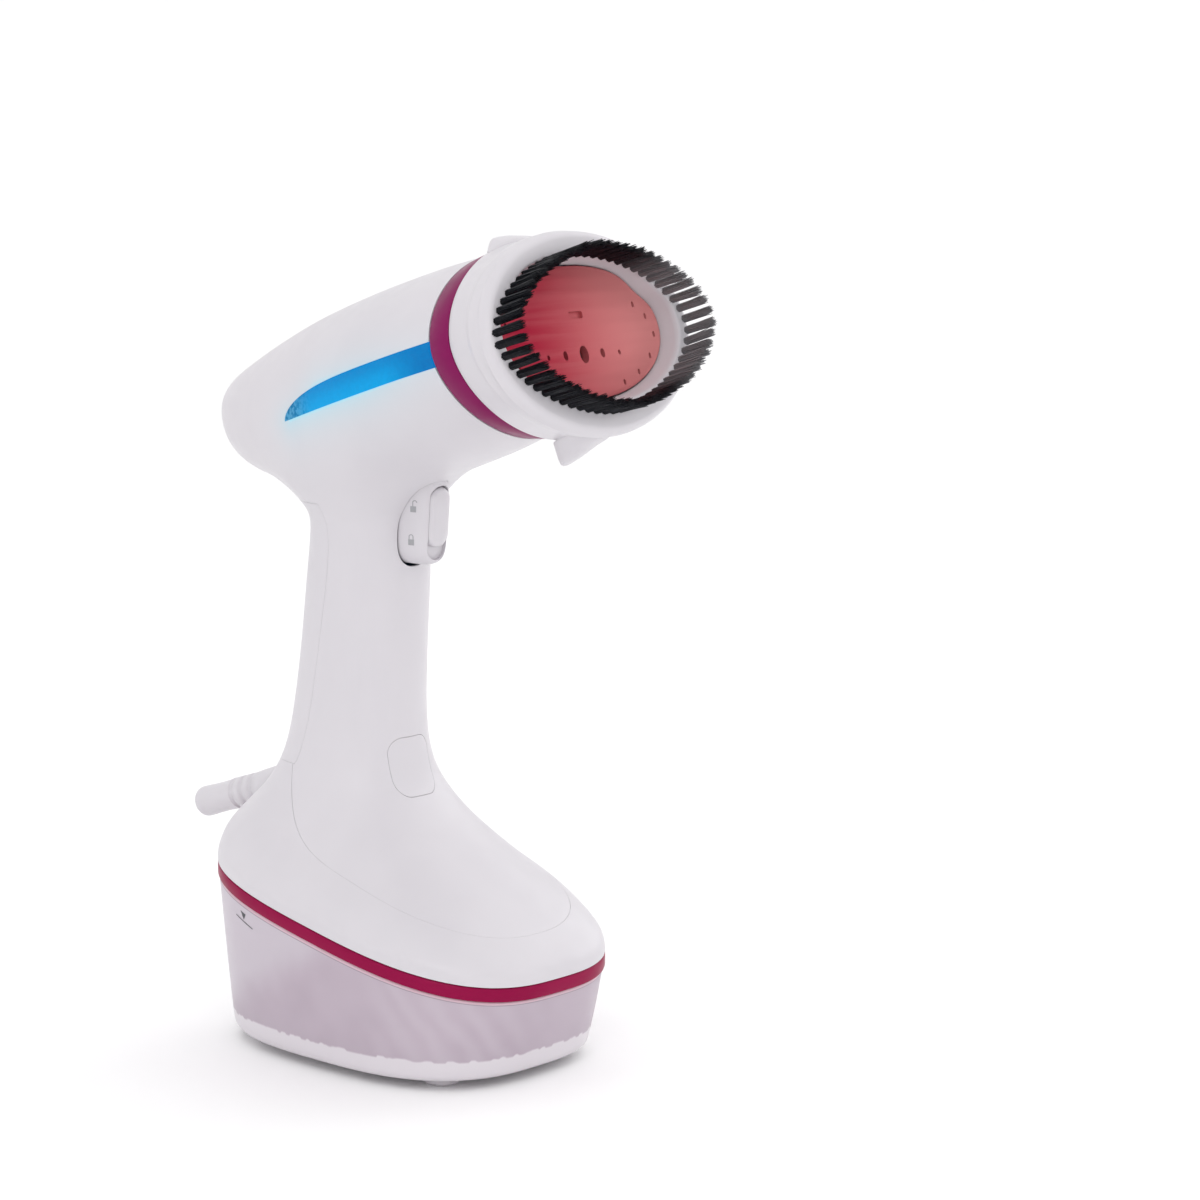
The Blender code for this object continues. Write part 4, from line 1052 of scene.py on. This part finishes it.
def make_trigger(materials):
    pad = loft("pad", trigger_rings(0.0))
    slot = prism("slot", rounded_outline(LOCK_SLOT_HALF_WIDTH, *LOCK_SLOT_Z, 4.1, 10), in_slot, -9.0,
                 LOCK_SLOT_DEPTH)
    pin_bore = bore((-20, *TRIGGER_PIVOT[1:]), (1, 0, 0), 40, PIN_BORE_RADIUS)
    spring_seat = bore((0, TRIGGER_BACK - SPRING_SEAT_DEPTH, SPRING_Z), (0, 1, 0), 6, SPRING_SEAT_RADIUS)
    combine(pad, "DIFFERENCE", slot, pin_bore, spring_seat)
    guide = BVHTree.FromObject(pad, bpy.context.evaluated_depsgraph_get())
    finish_piece(pad, "trigger_pad", materials["white"], "trigger", ["trigger"])

    outline = rounded_outline(LOCK_SLOT_HALF_WIDTH - 0.12, *LOCK_SLIDER_Z, 4.0, 10)
    middle = sum(LOCK_SLIDER_Z) / 2
    rows = [(LOCK_SLOT_DEPTH - 0.1, 1.0), (1.2, 1.0), (0.5, 0.97), (0.0, 0.90), (-0.3, 0.78), (-0.45, 0.5),
            (-0.5, 0.1)]
    rings = [[in_slot(x * share, middle + (z - middle) * (0.35 + 0.65 * share), depth) for x, z in outline]
             for depth, share in rows]
    finish_piece(loft("slider", rings), "lock_thumb_bar", materials["white"], "lock", ["lock_slider"],
                 50)
    make_padlocks(guide, materials["print"])


def laid_on(guide, start, direction, lift=0.05):
    """The point where a ray meets a surface, lifted a little off it."""
    hit, normal, _, _ = guide.ray_cast(Vector(start) * MM, direction)
    return (hit + normal * lift * MM) / MM


def add_patch(parts, place, outline_rows):
    """Add a printed patch to parts: a grid of rows of points, each put on the surface by place."""
    points, faces = parts
    first, width = len(points), len(outline_rows[0])
    points += [place(a, b) for row in outline_rows for a, b in row]
    faces += [(first + j * width + i, first + j * width + i + 1, first + (j + 1) * width + i + 1,
               first + (j + 1) * width + i) for j in range(len(outline_rows) - 1) for i in range(width - 1)]


def stroke(centres, half_width):
    """Two rows of points along both edges of a thin line."""
    left, right = [], []
    for index, (a, b) in enumerate(centres):
        a0, b0 = centres[max(index - 1, 0)]
        a1, b1 = centres[min(index + 1, len(centres) - 1)]
        along = Vector((a1 - a0, b1 - b0)).normalized()
        left.append((a - along.y * half_width, b + along.x * half_width))
        right.append((a + along.y * half_width, b - along.x * half_width))
    return [left, right]


def make_padlocks(guide, material):
    """Two plain printed padlocks on the pad's left flank, open above and closed below."""
    parts = ([], [])
    aside = Vector((FLANK_VIEW.y, -FLANK_VIEW.x, 0.0))
    for centre, height, is_open in PADLOCKS:
        def place(a, b):
            start = aside * (centre + a) - FLANK_VIEW * 60 + Vector((0, 0, height + b))
            return laid_on(guide, start, FLANK_VIEW)
        add_patch(parts, place, [[(-1.0 + 0.4 * i, -1.9 + 0.4 * j) for i in range(6)] for j in range(6)])
        shift = 0.55 if is_open else 0.0
        arc = [(shift + 0.68 * math.cos(angle), 1.0 + shift * 0.6 + 0.68 * math.sin(angle))
               for angle in np.linspace(0, math.pi, 14)]
        arc.append((shift - 0.68, 0.1))
        if not is_open:
            arc.insert(0, (0.68, 0.1))
        add_patch(parts, place, stroke(arc, 0.16))
    obj = add_object("padlocks", mesh_of("padlocks", *parts))
    finish_piece(obj, "lock_marks", material, "trigger", [])


def make_button(skin, material):
    button = button_block("button", 0.0, BUTTON_BACK)
    combine(button, "INTERSECT", copy_of(skin, "skin_copy"))
    finish_piece(button, "tank_release_button", material, "release", ["release_button"])


# ---- screws and cord guard

def make_screws(material):
    """Two cross-head screws, sunk in the rear cover."""
    profile = ((0.0, 1.9), (0.12, 2.4), (0.4, 2.68), (1.6, 2.7), (2.0, 1.3), (9.0, 1.3))
    for label, (height, head_y) in SCREWS.items():
        screw = turned_solid("screw", (0, head_y, height), (0, -1, 0), profile, 48)
        for a, b in ((1.7, 0.35), (0.35, 1.7)):
            bar = ((a, height + b), (-a, height + b), (-a, height - b), (a, height - b))
            combine(screw, "DIFFERENCE", prism("recess", bar, facing_front, head_y - 0.9, head_y + 1.0))
        finish_piece(screw, "cover_screw_" + label, material, "housing", ["handle_screw_" + label])


def make_guard(material):
    profile = [(0, 3.3), (0, 7.2), (0.4, 7.6), (1.7, 7.6), (2.2, 6.9)]
    profile += [(2.4 + 1.6 * step, 6.6 - 0.06 * step) for step in range(1, 13)]
    for groove in GUARD_GROOVES:
        for step in range(9):
            angle = math.pi * step / 8
            profile.append((groove + 2.0 * step / 8, 5.55 - 0.75 * math.sin(angle)))
    profile += [(40.0, 5.35), (44.0, 5.2), (49.0, 5.25), (53.0, 5.4)]
    rounding = 2.2
    profile += [(GUARD_LENGTH - rounding + rounding * math.sin(angle), 3.2 + rounding * math.cos(angle))
                for angle in (0.1, 0.4, 0.7, 1.0, 1.3, 1.5)]
    profile += [(GUARD_LENGTH, 3.0), (GUARD_LENGTH - 0.6, 2.6)]
    guard = turned_solid("guard", GUARD_START, GUARD_AXIS, profile, 64, closed=True)
    finish_piece(guard, "strain_relief", material, "housing", ["cord_guard"], 50)


# ---- tank

def tank_outline(height_share, inset, count=144):
    """Tank section between its rim (1) and its floor (0)."""
    ease = height_share ** 0.8
    front = -59.2 - 7.4 * ease
    rear = 67.0
    half_width = 43.8 + 6.2 * ease
    taper = 0.12 * (1 - ease)
    outline = superellipse(half_width - inset, front + inset, rear - inset, 2.8, count)
    middle = (front + rear) / 2
    return [(x * (1 - taper * (y - middle) / (rear - middle)), y) for x, y in outline]


def tank_section(share, inset, lift=0.0):
    height = TANK_FLOOR + (TANK_RIM - TANK_FLOOR) * share + lift
    return [Vector((x, y, height + BAND_SLOPE * share * y)) for x, y in tank_outline(share, inset)]


def make_fill_mark(guide, material):
    """Fill line with a small triangle over it, printed on the tank's left side."""
    parts = ([], [])
    (y0, z0), (y1, z1) = FILL_MARK
    half_stroke, steps = 0.22, 10
    triangle_gap, triangle_height, triangle_share, rows = 0.7, 2.6, 0.16, 4

    def place(along, height):
        start = (-90.0, y0 + (y1 - y0) * along, z0 + (z1 - z0) * along + height)
        return laid_on(guide, start, Vector((1, 0, 0)))

    add_patch(parts, place, stroke([(step / steps, 0.0) for step in range(steps + 1)], half_stroke))
    triangle = []
    for row in range(rows + 1):
        height, half = triangle_gap + triangle_height * row / rows, triangle_share * row / rows
        triangle.append([(0.5 - half, height), (0.5 + half, height)])
    add_patch(parts, place, triangle)
    obj = add_object("mark", mesh_of("mark", *parts))
    finish_piece(obj, "fill_mark", material, "tank", [])


def make_tank(materials):
    outer = [tank_section(0.0, 2.2), tank_section(0.0, 1.4, 0.1), tank_section(0.015, 0.7, 0.1),
             tank_section(0.04, 0.2, 0.1)]
    outer += [tank_section(share, 0.0) for share in (0.08, 0.15, 0.25, 0.4, 0.55, 0.7, 0.85, 0.97)]
    rim = [tank_section(0.99, 0.15), tank_section(1.0, 0.5), tank_section(1.0, 1.9)]
    inner = [tank_section(share, TANK_WALL) for share in (0.98, 0.7, 0.4, 0.22)]
    inner += [tank_section(0.17, 3.2), tank_section(0.14, 5.5), tank_section(0.13, 9.0)]
    tank = loft("tank", outer + rim + inner)
    guide = BVHTree.FromObject(tank, bpy.context.evaluated_depsgraph_get())
    finish_piece(tank, "water_tank", materials["tank"], "tank", ["tank_shell"], 40)
    make_fill_mark(guide, materials["ink"])

    _, _, front, rear, half_width, exponent = BODY_SECTIONS[0]
    low, high = -GAP - BAND_HEIGHT, -GAP
    profile = ((low, 1.2), (low, 0.45), (low + 0.15, 0.15), (low + 0.5, 0.03), (high - 0.7, 0.03),
               (high - 0.25, 0.2), (high, 0.6), (high, 2.0))
    lid = loft("lid", [[band_point(x, y, offset) for x, y in
                        superellipse(half_width - inset, front + inset, rear - inset, exponent, 160)]
                       for offset, inset in profile])
    catch = prism("catch", rounded_outline(4.0, -2.4, 2.2, 0.6, 4), upright, 48.0, 57.0)
    combine(lid, "UNION", catch)
    for (x, y), radius in zip((COUPLING, FILLER), HOLE_RADII):
        combine(lid, "DIFFERENCE", bore((x, y, 20.0), (0, 0, 1), 60, radius))
    finish_piece(lid, "tank_lid_band", materials["band"], "tank", ["tank_band"], 40)


# ---- what the frame already shapes well

CARRIED = {
    "white": ("base_plate", "nose_shroud", "tank_valve", "terminal_block"),
    "silicone": ("chamber_gasket", "pump_inlet_hose", "pump_outlet_hose", "pickup_tube", "filler_cap"),
    "cast_aluminium": ("steam_chamber",),
    "steel": ("heating_element", "thermostat", "thermal_fuse", "trigger_pin"),
    "spring_steel": ("trigger_spring", "button_spring"),
    "brass": ("chamber_inlet",),
    "grey_plastic": ("heat_shield", "switch_plunger", "tank_latch", "pickup_filter"),
    "black_plastic": ("microswitch", "pump", "water_coupling", "cord_clamp"),
    "circuit_board": ("led_board_left", "led_board_right", "control_board"),
    "tank": ("foot_front_left", "foot_front_right", "foot_rear_left", "foot_rear_right"),
}


def dress_frame(materials):
    """Give the frame's own objects that stay in view their materials."""
    for key, nodes in CARRIED.items():
        for node in nodes:
            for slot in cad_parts[node].material_slots:
                slot.material = materials[key]


# ---- room, light and camera

def make_room():
    """A pale floor that curves up far away on all sides, in soft light."""
    rows = [(1.0, FLOOR_TOP), (400.0, FLOOR_TOP), (FLOOR_FLAT, FLOOR_TOP)]
    rows += [(FLOOR_FLAT + FLOOR_BEND * math.sin(angle), FLOOR_BEND * (1 - math.cos(angle)) + FLOOR_TOP)
             for angle in np.linspace(0.1, math.pi / 2, 12)]
    count = 96
    points = [(radius * math.cos(2 * math.pi * i / count), radius * math.sin(2 * math.pi * i / count), height)
              for radius, height in rows for i in range(count)]
    faces = [tuple(range(count))]
    for row in range(len(rows) - 1):
        faces += strip_faces(row * count, (row + 1) * count, count)
    floor = add_object("floor", mesh_of("floor", points, faces))
    floor.data.shade_smooth()
    paint = Paint("pale_floor", Roughness=0.7)
    speck = paint.shade(paint.noise(400, 1))
    paint.to("Base Color", paint.mix(speck, (0.985, 0.985, 0.988), (0.995, 0.995, 0.995)))
    floor.data.materials.append(paint.material)
    world = bpy.data.worlds.new("studio")
    bpy.context.scene.world = world
    world.use_nodes = True
    background = world.node_tree.nodes["Background"]
    background.inputs["Color"].default_value = (1.0, 0.995, 1.0, 1.0)
    background.inputs["Strength"].default_value = ROOM_STRENGTH
    for name, (place, size, power) in LIGHTS.items():
        add_light(name, place, size, power)
    bpy.context.scene.view_settings.view_transform = "Standard"


def add_light(name, place, size, power):
    light = bpy.data.lights.new(name, "AREA")
    light.shape = "SQUARE"
    light.size = size * MM
    light.energy = power
    obj = bpy.data.objects.new(name, light)
    obj.location = Vector(place) * MM
    aim = Vector((0, 0, 150)) - Vector(place)
    obj.rotation_euler = aim.to_track_quat("-Z", "Y").to_euler()
    bpy.context.scene.collection.objects.link(obj)


def make_camera():
    camera = bpy.data.cameras.new("camera")
    camera.lens = CAMERA_LENS
    camera.sensor_width = 36.0
    camera.clip_end = 50.0
    obj = bpy.data.objects.new("camera", camera)
    obj.location = CAMERA_PLACE * MM
    obj.rotation_euler = (CAMERA_TILT, 0.0, CAMERA_TURN)
    bpy.context.scene.collection.objects.link(obj)
    bpy.context.scene.camera = obj


def build():
    materials = make_materials()
    skin, inside, outside = make_housing(materials["shell"])
    make_windows(skin, inside, materials["lens"])
    make_ring(materials["ring"])
    make_plate(materials["plate"])
    make_brush_frame(materials["white"])
    make_bristles(materials["bristle"])
    make_trigger(materials)
    make_button(skin, materials["white"])
    make_screws(materials["steel"])
    make_guard(materials["white"])
    make_tank(materials)
    for helper in (skin, inside, outside):
        drop(helper)
    dress_frame(materials)
    make_room()
    make_camera()


build()
